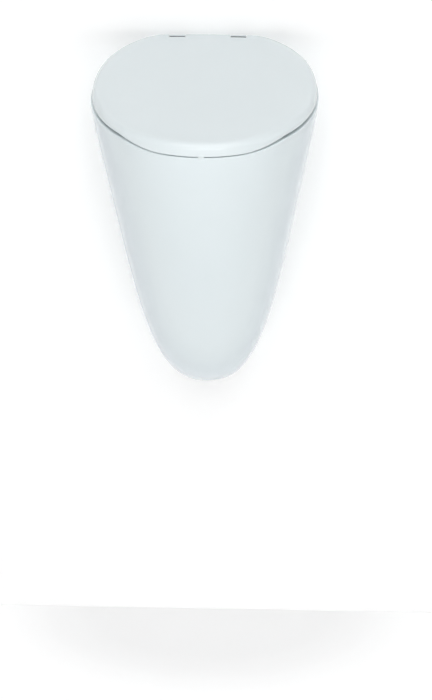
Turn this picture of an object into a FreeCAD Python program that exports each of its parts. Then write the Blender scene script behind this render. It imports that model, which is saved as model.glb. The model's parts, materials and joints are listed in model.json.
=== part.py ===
# Wall hung urinal with a hinged lid, in millimetres.
# Frame: the wall is the plane y = 0 and the bowl stands out along -Y.  X runs to the right as
# seen from the front and Z is up.  The origin is half way between the two wall fixing holes.
import FreeCAD
import Part
import math
import os

V = FreeCAD.Vector
X_AXIS = V(1, 0, 0)
Y_AXIS = V(0, 1, 0)
Z_AXIS = V(0, 0, 1)
DOWN = V(0, 0, -1)
INTO_WALL = V(0, 1, 0)
OUT_OF_WALL = V(0, -1, 0)
OVERSHOOT = 1.0                 # a cut runs this far past the face that it opens
TOUCH = 0.01                    # an edge this near a place counts as lying on it

# ---- ceramic body: overall form -------------------------------------------------------------
WIDTH = 322.0                   # widest, at the rim
DEPTH = 342.0                   # wall to the front of the rim
RIM_LEVEL = 25.0                # height where the sides start to taper
FOOT_LEVEL = -490.4             # tip of the body
FOOT_FLAT = 2.4                 # height cut off the tip
WIDEST_AT = 0.5                 # share of the depth, from the wall, where a section is widest
FRONT_POWER = 2.1               # roundness of the front half of a section
BACK_POWER = 2.2                # roundness of the back half of a section
WALL_SHARE = 0.55               # width at the wall, as a share of the widest
SIDE_TAPER = 0.574              # how fast the sides draw in towards the foot
SIDE_SWELL = 0.155              # the belly that the taper leaves half way down
SIDE_POWER = 4.872              # how late the sides round under to the foot
FRONT_TAPER = 0.68              # how far the front draws back towards the wall
FRONT_TAPER_POWER = 1.25
FRONT_POWER_DOWN = 14.0         # how late the front rounds under to the foot
TAPER_SOFTNESS = 0.04           # blend between the upright rim and the tapering sides

# ---- ceramic body: rim, bowl, walls ---------------------------------------------------------
DECK_LEVEL = 68.2               # level shelf at the wall that carries the hinges
DECK_REACH = 40.0               # how far that level shelf comes forward
RIM_SLOPE = 8.5                 # degrees, the rim falls towards the front
STEP_SET_BACK = 14.0            # the rim's step ends this far behind the front
STEP_LENGTH = 32.0
STEP_DROP = 10.2                # fall of the rim over the step
RIM_WIDTH = 26.0
WALL = 11.0                     # ceramic thickness of the shell
BACK_WALL = 14.0                # ceramic thickness behind the bowl
SHELF_REACH = 58.0              # front edge of the deck shelf, from the wall
SHELF_THICK = 14.0
BACK_TRIM = 2.0                 # shaved off the backs of the lofted forms to leave flat faces
BOWL_BEND = -95.0               # below this the bowl closes like a dome
BOWL_FLOOR = -201.7
BOWL_FLARE = (                  # level, and how much of the rim's extra width the wall has
    (60.0, 1.0),
    (20.0, 0.87),
    (-20.0, 0.47),
    (-60.0, 0.13),
)
BEND_FLARE = 0.07               # the same at the bend
BOWL_POWER = 2.3                # roundness of the bowl's floor
DOME_END = 76.0                 # degrees of the dome's curve before its flat floor
BACK_CLOSED_TO = -226.0         # below this the back of the shell is open
FOOT_WALL = 13.0                # ceramic left under the service space
RIM_EDGE = 2.5                  # rounding of the rim's outer edge

# ---- ceramic body: levels of the sections that its skin runs through ------------------------
SPARE_TOP = 30.0                # the skin starts this far above the deck and is cut to the rim
UPPER_LEVEL = 60.0
SIDES_FROM = -30.0
SIDES_TO = -330.0
ROUNDING_FROM = -385.0          # below this the sides round under to the foot
SIDE_SECTION_COUNT = 5
FOOT_SECTION_COUNT = 6
SPACE_SECTION_COUNT = 5
DOME_SECTION_COUNT = 7
BACK_POINT_COUNT = 4            # points of a section behind its widest place, on each side
FRONT_POINT_COUNT = 7

# ---- wall fixings ---------------------------------------------------------------------------
FIXING_SPACING = 120.0
FIXING_HOLE_R = 6.0
FIXING_BOLT_R = 4.5             # clear hole for the wall's M8 studs
FIXING_THREAD_R = 4.0
FIXING_WASHER_R = 11.0
FIXING_WASHER_THICK = 2.0
FIXING_NUT_FLATS = 13.0
FIXING_NUT_THICK = 6.5
FIXING_CAP_WALL = 1.6
BOLT_STAND = 2.0                # room left for a stud's end beyond its nut

# ---- water inlet ----------------------------------------------------------------------------
INLET_LEVEL = 20.0
INLET_PIPE_R = 16.0             # bore that takes the wall's flush pipe
INLET_SEAL_WALL = 4.0
INLET_PIPE_DEPTH = 11.0
INLET_FLANGE_RIM = 1.0          # the seal's flange shows this much round the nozzle
INLET_FLANGE_THICK = 3.0
NOZZLE_NECK_R = 13.0
NOZZLE_SET_BACK = 0.5           # of the neck's end from the flush pipe's stop
NOZZLE_WALL = 2.5
NOZZLE_DISC_R = 25.0
NOZZLE_DISC_THICK = 4.0
NOZZLE_GAP = 8.0                # slot that spreads the water
NOZZLE_CORE_R = 5.0
NOZZLE_RIB = 3.0
NOZZLE_RIB_COUNT = 4
NOZZLE_SCREW_R = 3.0

# ---- drain ----------------------------------------------------------------------------------
DRAIN_HOLE_GAP = 0.5            # round the waste tube
DRAIN_RECESS_GAP = 2.0          # round the waste tube's flange
DRAIN_RECESS = 4.0
WASTE_R = 23.5                  # outside of the waste tube
WASTE_BORE_R = 20.5
WASTE_FLANGE_WIDTH = 10.5
WASTE_FLANGE = 2.4
STRAINER_SET_IN = 1.0           # from the edge of the waste tube's flange
STRAINER_THICK = 1.6
STRAINER_HOLE_R = 3.0
STRAINER_RINGS = ((11.0, 6), (18.5, 12))
STRAINER_BAR = 4.0              # half width of the bar that takes the strainer's screw
SCREW_R = 2.5
SCREW_HEAD_R = 5.0
GASKET_WIDTH = 11.5
GASKET_THICK = 3.0
WASTE_NUT_WIDTH = 13.5          # out to the nut's corners
WASTE_NUT_THICK = 9.0

# ---- trap and outlet ------------------------------------------------------------------------
TRAP_R = 44.0
TRAP_WALL = 3.0
TRAP_UNDER_NUT = 8.8            # clear height between the waste nut and the trap's seal
TRAP_HEIGHT = 118.0
TRAP_FRONT_GAP = 7.35           # level clearance between the trap's cap and the shell
TRAP_NECK_WALL = 2.5
TRAP_NECK = 9.0                 # height of the neck above the trap's top
TRAP_CAP_WALL = 3.0
TRAP_CAP_HEIGHT = 16.0
TRAP_CAP_SEAL = 2.0
TRAP_CAP_RIB_COUNT = 16
WASTE_IN_TRAP = 15.3            # the waste tube ends this far under the trap's top
DIP_OVERLAP = 12.0              # the dip tube grips this much of the waste tube
DIP_WALL = 2.0
DIP_FROM_BOTTOM = 15.0
TRAP_SEAL_LIP = 1.5             # lip of the neck seal over the neck's edge
OUTLET_DROP = 30.0              # from the trap's top to the outlet's axis
OUTLET_R = 25.0                 # DN 50 spigot
OUTLET_TAIL_STEP = 0.8          # its end inside the coupling is this much thinner
OUTLET_WALL = 2.5
OUTLET_BACK = 3.0               # the spigot ends this far in front of the wall
OUTLET_FREE = 22.0              # straight length left free for the wall's socket
OUTLET_NUT_WALL = 4.0
OUTLET_NUT = 9.0
OUTLET_SEAL = 2.0
COUPLING_GAP = 1.0              # between the coupling nut and the free stretch

# ---- lid ------------------------------------------------------------------------------------
LID_INSET = 3.0                 # the rim shows this much beyond the lid at the sides
LID_FRONT_INSET = 0.6           # the lid is nearly flush with the rim at the front
LID_WALL_SHARE = 0.4            # the lid is rounder than the body at the back
LID_BACK = 6.5                  # clear space between the lid and the wall
LID_RISE = 19.8                 # height of the lid's top above the deck, at its back edge
LID_CROWN_R = 4000.0            # radius of the lid's crowned top
LID_CORNER_R = 60.0             # back corners in plan
LID_EDGE_R = 8.0                # rounding of the top edge
LID_TOP_WALL = 4.5
LID_SKIRT = 5.0
LID_GAP_FRONT = 1.5             # seam at the front
LID_GAP_SIDE = 3.2              # seam at the sides
LID_BAR_GAP = 4.8               # between the deck and the lid's hinge bar
LID_BAR_REACH = 28.0            # front of the hinge bar, from the wall

# ---- hinges ---------------------------------------------------------------------------------
HINGE_SPACING = 91.0
HINGE_Y = -13.0
HINGE_RISE = 12.0               # of the hinge line above the deck
KNUCKLE_R = 5.5
KNUCKLE_WIDTH = 23.0
NOTCH_SIDE_GAP = 1.0
NOTCH_FRONT_GAP = 3.5
HINGE_PIN_R = 2.5
HINGE_PIN_REACH = 12.5          # pin beyond each side of its knuckle
RUNNING_GAP = 0.05              # radial clearance of the pin in its bearings
BUSH_R = 4.0
BUSH_LENGTH = 12.0
DAMPER_R = 4.8
DAMPER_LENGTH = 26.0
HINGE_PAD = 1.0
HINGE_FOOT = 2.5
STUD_Y = -29.0
STUD_R = 4.0
STUD_HEAD_R = 6.5
STUD_HOLE_R = 6.5
STUD_WASHER_R = 11.0
STUD_WASHER = 2.0
WING_HUB_R = 7.5
WING_NUT = 9.0
WING_SPAN = 30.0
WING_THICK = 3.0

# ---- buffers under the lid ------------------------------------------------------------------
BUFFER_R = 5.5
BUFFER_POCKET = 5.0             # depth of the buffer inside the lid
BUFFER_BOSS_R = 8.5
BUFFER_INSET = 17.0             # from the outside of the rim
BUFFER_BACK = 95.0              # the back pair's distance from the wall
BUFFER_SET_BACK = 80.0          # the front pair's distance behind the front
SEAT_GAP = 0.3                  # clearance of a closed lid over the rim
TAB_WIDTH = 7.5                 # light stop in the middle of the front seam
TAB_DEPTH = 10.0
TAB_SET_BACK = 0.5              # from the lid's front
TAB_RISE = 3.0                  # how far it reaches up into the lid

# ---- worked out from the values above -------------------------------------------------------
LOFT_DEGREE = 3
ROUNDED_SHARE = 0.6             # of a small piece's thickness, where its edge is rounded
CLOSING_SHARE = 0.95            # of a section's run behind the wall, kept clear of its closing
SLOPE = math.tan(math.radians(RIM_SLOPE))
HEIGHT_OF_TAPER = RIM_LEVEL - FOOT_LEVEL
BIG = 2 * (DECK_LEVEL - FOOT_LEVEL)     # reach of cutting blocks, larger than the whole body
STEP_FRONT = DEPTH - STEP_SET_BACK
STEP_BACK = STEP_FRONT - STEP_LENGTH
LID_TOP_BACK = DECK_LEVEL + LID_RISE
LID_REAR_LEVEL = DECK_LEVEL + LID_BAR_GAP
HINGE_LEVEL = DECK_LEVEL + HINGE_RISE
NOTCH_REACH = KNUCKLE_R - HINGE_Y + NOTCH_FRONT_GAP
BUFFER_PLACES = (-BUFFER_BACK, BUFFER_SET_BACK - DEPTH)
INLET_HOLE_R = INLET_PIPE_R + INLET_SEAL_WALL
INLET_FLANGE_R = NOZZLE_DISC_R + INLET_FLANGE_RIM
NOZZLE_BORE_R = NOZZLE_NECK_R - NOZZLE_WALL
DRAIN_HOLE_R = WASTE_R + DRAIN_HOLE_GAP
WASTE_FLANGE_R = WASTE_R + WASTE_FLANGE_WIDTH
DRAIN_RECESS_R = WASTE_FLANGE_R + DRAIN_RECESS_GAP
STRAINER_R = WASTE_FLANGE_R - STRAINER_SET_IN
GASKET_R = WASTE_R + GASKET_WIDTH
WASTE_NUT_R = WASTE_R + WASTE_NUT_WIDTH
BOWL_UNDERSIDE = BOWL_FLOOR - WALL
WASTE_NUT_END = BOWL_UNDERSIDE - GASKET_THICK - WASTE_NUT_THICK
TRAP_NECK_R = WASTE_R + TRAP_WALL + TRAP_NECK_WALL
TRAP_CAP_R = TRAP_R + TRAP_CAP_WALL
TRAP_CAP_RIB_R = TRAP_WALL / 2
TRAP_TOP = WASTE_NUT_END - TRAP_UNDER_NUT - TRAP_SEAL_LIP - TRAP_NECK
TRAP_END = TRAP_TOP - TRAP_HEIGHT
TRAP_CAP_END = TRAP_END - TRAP_CAP_SEAL - TRAP_WALL
WASTE_TOP = BOWL_FLOOR - STRAINER_THICK
WASTE_END = TRAP_TOP - WASTE_IN_TRAP
OUTLET_LEVEL = TRAP_TOP - OUTLET_DROP
OUTLET_TAIL_R = OUTLET_R - OUTLET_TAIL_STEP
STUB_R = OUTLET_R + TRAP_WALL
OUTLET_NUT_R = STUB_R + OUTLET_NUT_WALL


# ---- small helpers --------------------------------------------------------------------------
def block(x0, x1, y0, y1, z0, z1):
    return Part.makeBox(x1 - x0, y1 - y0, z1 - z0, V(x0, y0, z0))


def rod(radius, start, direction, length):
    return Part.makeCylinder(radius, length, start, direction)


def pipe(outer, inner, start, direction, length):
    return rod(outer, start, direction, length).cut(rod(inner, start, direction, length))


def hexagon(flats, start, direction, length):
    ring = Part.makeCircle(flats / math.sqrt(3.0), start, direction)
    corners = [ring.valueAt(math.radians(60.0 * i)) for i in range(6)]
    face = Part.Face(Part.makePolygon(corners + corners[:1]))
    return face.extrude(V(direction).normalize() * length)


def across(shape):
    """The same shape on the other side of the middle plane."""
    return shape.mirror(V(0, 0, 0), X_AXIS)


def both_sides(shape):
    return Part.makeCompound([shape, across(shape)])


def save(node, shape):
    solids = shape.Solids
    whole = solids[0] if len(solids) == 1 else Part.makeCompound(solids)
    whole.exportStep("parts/%s.step" % node)
    print("%-22s solids %d  volume %.0f mm3" % (node, len(solids), whole.Volume))


# ---- the body's form ------------------------------------------------------------------------
def taper_share(z):
    """0 at the rim and 1 at the tip, eased in where the upright rim meets the tapering sides."""
    t = (RIM_LEVEL - z) / HEIGHT_OF_TAPER
    return 0.5 * (t + math.sqrt(t * t + TAPER_SOFTNESS * TAPER_SOFTNESS * (1.0 - max(t, 0.0))))


def half_width(z):
    u = taper_share(z)
    return WIDTH / 2 * (1 - SIDE_TAPER * u + SIDE_SWELL * u * u) * math.sqrt(1 - u ** SIDE_POWER)


def depth_at(z):
    u = taper_share(z)
    drawn_back = FRONT_TAPER * u ** FRONT_TAPER_POWER
    return DEPTH * (1 - drawn_back) * math.sqrt(1 - u ** FRONT_POWER_DOWN)


def drain_place():
    """The drain stands over the trap, whose cap clears the front of the shell."""
    cap_reach = TRAP_CAP_R + TRAP_CAP_RIB_R
    return -(depth_at(TRAP_CAP_END) - WALL - TRAP_FRONT_GAP - cap_reach)


DRAIN_Y = drain_place()


def back_reach(wall_share):
    """Share of the depth from the widest place back to where the curve would close."""
    return WIDEST_AT / (1 - wall_share ** BACK_POWER) ** (1 / BACK_POWER)


def plan_share(q, wall_share):
    """Half width of a level section at depth share q, as a share of its widest."""
    if q >= WIDEST_AT:
        u = min((q - WIDEST_AT) / (1 - WIDEST_AT), 1.0)
        return (1 - u ** FRONT_POWER) ** (1 / FRONT_POWER)
    u = (WIDEST_AT - q) / back_reach(wall_share)
    return (1 - u ** BACK_POWER) ** (1 / BACK_POWER)


def outline(half, depth, back, wall_share):
    """Points of a level section from its right back corner round the front to the left one."""
    q_back = back / depth
    shares = []
    for i in range(BACK_POINT_COUNT):
        shares.append(q_back + (WIDEST_AT - q_back) * i / BACK_POINT_COUNT)
    for i in range(FRONT_POINT_COUNT + 1):
        turn = math.pi / 2 * i / FRONT_POINT_COUNT
        shares.append(WIDEST_AT + (1 - WIDEST_AT) * math.sin(turn))
    right = [(half * plan_share(q, wall_share), -q * depth) for q in shares]
    left = [(-x, y) for x, y in reversed(right[:-1])]
    return right + left


def wire_at(z, points):
    """Level wire: one curve through the points and a straight back."""
    corners = [V(x, y, z) for x, y in points]
    curve = Part.BSplineCurve()
    knots = [float(i) / (len(corners) - 1) for i in range(len(corners))]
    curve.interpolate(Points=corners, Parameters=knots)
    return Part.Wire([curve.toShape(), Part.makeLine(corners[-1], corners[0])])


def section(z, half, depth, back, wall_share):
    return wire_at(z, outline(half, depth, back, wall_share))


def form(levels, inset, back):
    """Solid through the body's sections at the given levels, drawn in by inset.

    Its back face lies at back, or nearer the wall where a short section closes before that.
    """
    closes_at = (WIDEST_AT - back_reach(WALL_SHARE)) * CLOSING_SHARE
    wires = []
    for z in levels:
        depth = depth_at(z) - inset
        section_back = max(back, closes_at * depth)
        wires.append(section(z, half_width(z) - inset, depth, section_back, WALL_SHARE))
    return Part.makeLoft(wires, True, False, False, LOFT_DEGREE)


def spread(top, bottom, count):
    return [top + (bottom - top) * i / (count - 1) for i in range(count)]


def rounding_levels(top, bottom, count):
    """Levels that crowd towards the bottom, where a form closes."""
    angles = [math.pi / 2 * i / (count - 1) for i in range(count)]
    return [top + (bottom - top) * math.sin(a) for a in angles]


# ---- the line where the rim and the lid part ------------------------------------------------
def rim_line(y):
    """Height of the rim at a distance -y from the wall."""
    out = -y
    if out <= DECK_REACH:
        return DECK_LEVEL
    if out <= STEP_BACK:
        return DECK_LEVEL - (out - DECK_REACH) * SLOPE
    foot_of_slope = DECK_LEVEL - (STEP_BACK - DECK_REACH) * SLOPE
    if out <= STEP_FRONT:
        return foot_of_slope - STEP_DROP * (out - STEP_BACK) / (STEP_FRONT - STEP_BACK)
    return foot_of_slope - STEP_DROP - (out - STEP_FRONT) * SLOPE


def above(line):
    """Everything above a line given as (y, z) points from the wall to the front."""
    corners = [V(-BIG, y, z) for y, z in line]
    corners.append(V(-BIG, line[-1][0], BIG))
    corners.append(V(-BIG, line[0][0], BIG))
    face = Part.Face(Part.makePolygon(corners + corners[:1]))
    return face.extrude(X_AXIS * 2 * BIG)


def rim_corners(lift):
    places = (BIG, -DECK_REACH, -STEP_BACK, -STEP_FRONT, -BIG)
    return [(y, rim_line(y) + lift) for y in places]


def lid_corners():
    level_from = DECK_REACH - (LID_REAR_LEVEL - LID_GAP_SIDE - DECK_LEVEL) / SLOPE
    return [
        (BIG, LID_REAR_LEVEL),
        (-level_from, LID_REAR_LEVEL),
        (-STEP_BACK, rim_line(-STEP_BACK) + LID_GAP_SIDE),
        (-STEP_FRONT, rim_line(-STEP_FRONT) + LID_GAP_FRONT),
        (-BIG, rim_line(-BIG) + LID_GAP_FRONT),
    ]


# ---- ceramic --------------------------------------------------------------------------------
def bowl_inset(flare):
    """Distance of the bowl's face from the outside of the body."""
    return WALL + (RIM_WIDTH - WALL) * flare


def bowl(grow):
    """The hollow of the bowl; grow adds the ceramic round it."""
    back_face = BACK_WALL - grow
    back = back_face - BACK_TRIM
    wires = []
    for z, flare in ((DECK_LEVEL + SPARE_TOP, 1.0),) + BOWL_FLARE:
        inset = bowl_inset(flare) - grow
        wires.append(section(z, half_width(z) - inset, depth_at(z) - inset, back, WALL_SHARE))
    inset = bowl_inset(BEND_FLARE) - grow
    bend = outline(half_width(BOWL_BEND) - inset, depth_at(BOWL_BEND) - inset, back, WALL_SHARE)
    fall = (BOWL_BEND - BOWL_FLOOR + grow) / math.sin(math.radians(DOME_END))
    for i in range(DOME_SECTION_COUNT):
        share = math.sin(math.radians(DOME_END * i / (DOME_SECTION_COUNT - 1)))
        scale = (1 - share ** BOWL_POWER) ** (1 / BOWL_POWER)
        z = BOWL_BEND - fall * share
        wires.append(wire_at(z, [(x * scale, DRAIN_Y + (y - DRAIN_Y) * scale) for x, y in bend]))
    hollow = Part.makeLoft(wires, True, False, False, LOFT_DEGREE)
    return hollow.cut(block(-BIG, BIG, -back_face, BIG, -BIG, BIG))


def deck_shelf():
    """The shelf over the back of the bowl, with its front edge rounded."""
    under = DECK_LEVEL - SHELF_THICK
    slab = block(-BIG, BIG, -SHELF_REACH, BIG, under, BIG)
    edge = [e for e in slab.Edges
            if abs(e.BoundBox.YMax + SHELF_REACH) < TOUCH and abs(e.BoundBox.ZMax - under) < TOUCH]
    return slab.makeFillet(SHELF_THICK / 2, edge)


def service_space():
    """The hollow behind and under the bowl, open at the back of the shell."""
    bottom = FOOT_LEVEL + FOOT_WALL
    levels = spread(BOWL_BEND + WALL, SIDES_TO, SPACE_SECTION_COUNT)
    levels += rounding_levels(ROUNDING_FROM, bottom, SPACE_SECTION_COUNT)
    space = form(levels, WALL, -2 * OVERSHOOT)
    closed_back = block(-BIG, BIG, -BACK_WALL, BIG, BACK_CLOSED_TO, BIG)
    return space.cut([bowl(WALL), closed_back])


def outer_rim_edges(shape):
    """Edges round the outside of the rim, in front of the deck shelf."""
    found = []
    for edge in shape.Edges:
        middle = edge.valueAt((edge.FirstParameter + edge.LastParameter) / 2)
        on_rim = abs(middle.z - rim_line(middle.y)) < RIM_EDGE / 5 and middle.y < -SHELF_REACH
        half = half_width(middle.z) * plan_share(-middle.y / depth_at(middle.z), WALL_SHARE)
        if on_rim and edge.Length > 2 * RIM_EDGE and abs(middle.x) > half - RIM_WIDTH / 2:
            found.append(edge)
    return found


def ceramic_body():
    tip = FOOT_LEVEL + FOOT_FLAT
    levels = [DECK_LEVEL + SPARE_TOP, UPPER_LEVEL, RIM_LEVEL]
    levels += spread(SIDES_FROM, SIDES_TO, SIDE_SECTION_COUNT)
    levels += rounding_levels(ROUNDING_FROM, tip, FOOT_SECTION_COUNT)
    shell = form(levels, 0.0, -BACK_TRIM).cut(block(-BIG, BIG, 0, BIG, -BIG, BIG))
    shell = shell.cut(above(rim_corners(0.0)))
    shell = shell.cut([bowl(0.0).cut(deck_shelf()), service_space()])
    over_drain = V(0, DRAIN_Y, BOWL_FLOOR + WALL)
    in_bowl = -BACK_WALL - OVERSHOOT
    through_back = BACK_WALL + 2 * OVERSHOOT
    over_deck = V(HINGE_SPACING / 2, STUD_Y, DECK_LEVEL + OVERSHOOT)
    cuts = [
        rod(DRAIN_HOLE_R, over_drain, DOWN, 3 * WALL),
        rod(DRAIN_RECESS_R, over_drain, DOWN, WALL + DRAIN_RECESS),
        rod(INLET_HOLE_R, V(0, in_bowl, INLET_LEVEL), INTO_WALL, through_back),
        both_sides(rod(FIXING_HOLE_R, V(FIXING_SPACING / 2, in_bowl, 0), INTO_WALL, through_back)),
        both_sides(rod(STUD_HOLE_R, over_deck, DOWN, SHELF_THICK + 2 * OVERSHOOT)),
    ]
    shell = shell.cut(cuts)
    return shell.makeFillet(RIM_EDGE, outer_rim_edges(shell))


# ---- lid ------------------------------------------------------------------------------------
def crown(drop):
    """The ball whose top is the lid's crowned top face, or that face lowered by drop."""
    tilt = math.radians(RIM_SLOPE)
    half_chord = (DEPTH - LID_BACK) / 2 / math.cos(tilt)
    sag = half_chord * half_chord / (2 * LID_CROWN_R)
    along = V(0, -math.cos(tilt), -math.sin(tilt))
    normal = V(0, -math.sin(tilt), math.cos(tilt))
    apex = V(0, -LID_BACK, LID_TOP_BACK) + along * half_chord + normal * sag
    return Part.makeSphere(LID_CROWN_R - drop, apex - normal * LID_CROWN_R)


def lid_prism(inset):
    """Upright prism of the lid's plan, drawn in by inset, with rounded back corners."""
    half = WIDTH / 2 - LID_INSET - inset
    reach = DEPTH - LID_FRONT_INSET - inset
    wire = section(0.0, half, reach, LID_BACK + inset, LID_WALL_SHARE)
    prism = Part.Face(wire).extrude(Z_AXIS * BIG)
    upright = [e for e in prism.Edges if e.BoundBox.ZLength > BIG / 2]
    return prism.makeFillet(LID_CORNER_R - inset, upright)


def buffer_spots():
    """Places on the rim for the buffers of the right side."""
    spots = []
    for y in BUFFER_PLACES:
        z = rim_line(y)
        share = plan_share(-y / (depth_at(z) - BUFFER_INSET), WALL_SHARE)
        spots.append(V((half_width(z) - BUFFER_INSET) * share, y, z))
    return spots


def rim_band(low, high):
    """The layer between two heights over the rim."""
    return above(rim_corners(low)).cut(above(rim_corners(high)))


def buffer_studs(radius, low, high):
    """Upright rods at all buffer places, cut parallel to the rim."""
    rods = []
    for spot in buffer_spots():
        rods.append(rod(radius, V(spot.x, spot.y, 0), Z_AXIS, BIG / 2))
        rods.append(across(rods[-1]))
    band = rim_band(low, high)
    return [r.common(band) for r in rods]


def front_tab(low):
    front = -DEPTH + LID_FRONT_INSET + TAB_SET_BACK
    bar = block(-TAB_WIDTH / 2, TAB_WIDTH / 2, front, front + TAB_DEPTH, 0.0, LID_TOP_BACK)
    return bar.common(rim_band(low, LID_GAP_FRONT + TAB_RISE))


def hinge_bore(radius, outward, length):
    """Bore from one side of the lid's notch, on the hinge line, at the right hinge."""
    side = KNUCKLE_WIDTH / 2 + NOTCH_SIDE_GAP
    start = HINGE_SPACING / 2 + outward * side
    return rod(radius, V(start, HINGE_Y, HINGE_LEVEL), X_AXIS * outward, length)


def lid_shell():
    outside = lid_prism(0.0).common(crown(0.0)).common(above(lid_corners()))
    ball_face = [f for f in outside.Faces if f.Surface.TypeId == "Part::GeomSphere"][0]
    outside = outside.makeFillet(LID_EDGE_R, ball_face.OuterWire.Edges)
    hollow = lid_prism(LID_SKIRT).common(crown(LID_TOP_WALL))
    bar_half = HINGE_SPACING / 2 + KNUCKLE_WIDTH / 2 + NOTCH_SIDE_GAP + BUSH_LENGTH + LID_SKIRT
    hollow = hollow.cut(block(-bar_half, bar_half, -LID_BAR_REACH, 0, 0, BIG))
    lid = outside.cut(hollow)
    bosses = buffer_studs(BUFFER_BOSS_R, LID_GAP_SIDE, LID_TOP_BACK)
    inside = lid_prism(LID_SKIRT / 2).common(crown(LID_TOP_WALL / 2))
    lid = lid.fuse([b.common(inside) for b in bosses])
    notch_half = KNUCKLE_WIDTH / 2 + NOTCH_SIDE_GAP
    middle = HINGE_SPACING / 2
    notch = block(middle - notch_half, middle + notch_half, -NOTCH_REACH, BIG, 0, BIG)
    cuts = [
        both_sides(notch),
        both_sides(hinge_bore(BUSH_R, 1, BUSH_LENGTH)),
        both_sides(hinge_bore(DAMPER_R, -1, DAMPER_LENGTH)),
        front_tab(SEAT_GAP),
    ]
    cuts += buffer_studs(BUFFER_R, 0.0, LID_GAP_SIDE + BUFFER_POCKET)
    return lid.cut(cuts).removeSplitter()


def bearing(outer, outward, length):
    """Sleeve in the lid that turns on the hinge pin."""
    body = hinge_bore(outer, outward, length)
    pin_run = HINGE_PIN_REACH - NOTCH_SIDE_GAP + RUNNING_GAP
    return body.cut(hinge_bore(HINGE_PIN_R + RUNNING_GAP, outward, pin_run))


def lid_parts():
    save("lid_shell", lid_shell())
    damper = bearing(DAMPER_R, -1, DAMPER_LENGTH)
    save("lid_damper_right", damper)
    save("lid_damper_left", across(damper))
    save("hinge_bushes", both_sides(bearing(BUSH_R, 1, BUSH_LENGTH)))
    save("lid_buffers", Part.makeCompound(buffer_studs(BUFFER_R, SEAT_GAP,
                                                       LID_GAP_SIDE + BUFFER_POCKET)))
    save("front_stop", front_tab(SEAT_GAP))


# ---- hinges ---------------------------------------------------------------------------------
def hinge_outline(z, height):
    """Flat plate under the hinge: square at the wall end and round about the stud."""
    middle = HINGE_SPACING / 2
    half = KNUCKLE_WIDTH / 2
    back = HINGE_Y + KNUCKLE_R
    plate = block(middle - half, middle + half, STUD_Y, back, z, z + height)
    return plate.fuse(rod(half, V(middle, STUD_Y, z), Z_AXIS, height)).removeSplitter()


def hinge_parts():
    middle = HINGE_SPACING / 2
    half = KNUCKLE_WIDTH / 2
    foot_base = DECK_LEVEL + HINGE_PAD
    foot_top = foot_base + HINGE_FOOT
    stud_at = V(middle, STUD_Y, foot_top)
    sink = STUD_HEAD_R - STUD_R
    pad = hinge_outline(DECK_LEVEL, HINGE_PAD).cut(rod(STUD_R, stud_at, DOWN, BIG))
    save("hinge_pads", both_sides(pad))

    countersink = Part.makeCone(STUD_HEAD_R, STUD_R, sink, stud_at, DOWN)
    foot = hinge_outline(foot_base, HINGE_FOOT).cut([rod(STUD_R, stud_at, DOWN, BIG),
                                                     countersink])
    save("hinge_foot_right", foot)
    save("hinge_foot_left", across(foot))

    upright = block(middle - half, middle + half, HINGE_Y - KNUCKLE_R, HINGE_Y + KNUCKLE_R,
                    foot_top, HINGE_LEVEL)
    knuckle = rod(KNUCKLE_R, V(middle - half, HINGE_Y, HINGE_LEVEL), X_AXIS, KNUCKLE_WIDTH)
    reach = half + HINGE_PIN_REACH
    pin = rod(HINGE_PIN_R, V(middle - reach, HINGE_Y, HINGE_LEVEL), X_AXIS, 2 * reach)
    post = upright.fuse(knuckle).removeSplitter().cut(pin)
    save("hinge_post_right", post)
    save("hinge_post_left", across(post))
    save("hinge_pins", both_sides(pin))

    under = DECK_LEVEL - SHELF_THICK
    nut_top = under - STUD_WASHER
    tip = nut_top - WING_NUT - BOLT_STAND
    stud = rod(STUD_R, stud_at, DOWN, foot_top - tip).fuse(countersink).removeSplitter()
    save("hinge_studs", both_sides(stud))
    sleeve = pipe(STUD_HOLE_R, STUD_R, V(middle, STUD_Y, DECK_LEVEL), DOWN, SHELF_THICK)
    save("hinge_sleeves", both_sides(sleeve))
    washer = pipe(STUD_WASHER_R, STUD_R, V(middle, STUD_Y, under), DOWN, STUD_WASHER)
    save("hinge_washers", both_sides(washer))
    hub = rod(WING_HUB_R, V(middle, STUD_Y, nut_top), DOWN, WING_NUT)
    wings = block(middle - WING_SPAN / 2, middle + WING_SPAN / 2, STUD_Y - WING_THICK / 2,
                  STUD_Y + WING_THICK / 2, nut_top - WING_NUT, nut_top - WING_THICK)
    nut = hub.fuse(wings).removeSplitter().cut(rod(STUD_R, stud_at, DOWN, BIG))
    save("hinge_wing_nuts", both_sides(nut))


# ---- wall fixings, inside the bowl ----------------------------------------------------------
def fixing_parts():
    x = FIXING_SPACING / 2
    inside = -BACK_WALL
    washer_face = inside - FIXING_WASHER_THICK
    nut_face = washer_face - FIXING_NUT_THICK
    end = nut_face - BOLT_STAND
    sleeve = pipe(FIXING_HOLE_R, FIXING_BOLT_R, V(x, 0, 0), OUT_OF_WALL, BACK_WALL)
    save("fixing_sleeves", both_sides(sleeve))
    washer = pipe(FIXING_WASHER_R, FIXING_BOLT_R, V(x, inside, 0), OUT_OF_WALL,
                  FIXING_WASHER_THICK)
    save("fixing_washers", both_sides(washer))
    nut = hexagon(FIXING_NUT_FLATS, V(x, washer_face, 0), OUT_OF_WALL, FIXING_NUT_THICK)
    thread = rod(FIXING_THREAD_R, V(x, 0, 0), OUT_OF_WALL, -end)
    save("fixing_nuts", both_sides(nut.cut(thread)))
    cap_length = washer_face - end + 2 * FIXING_CAP_WALL
    cap = rod(FIXING_WASHER_R, V(x, washer_face, 0), OUT_OF_WALL, cap_length)
    cap = cap.makeFillet(FIXING_CAP_WALL * 2, [e for e in cap.Edges if e.BoundBox.YMax < end])
    room = rod(FIXING_WASHER_R - FIXING_CAP_WALL, V(x, washer_face, 0), OUT_OF_WALL,
               cap_length - FIXING_CAP_WALL)
    save("fixing_caps", both_sides(cap.cut(room)))


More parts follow.
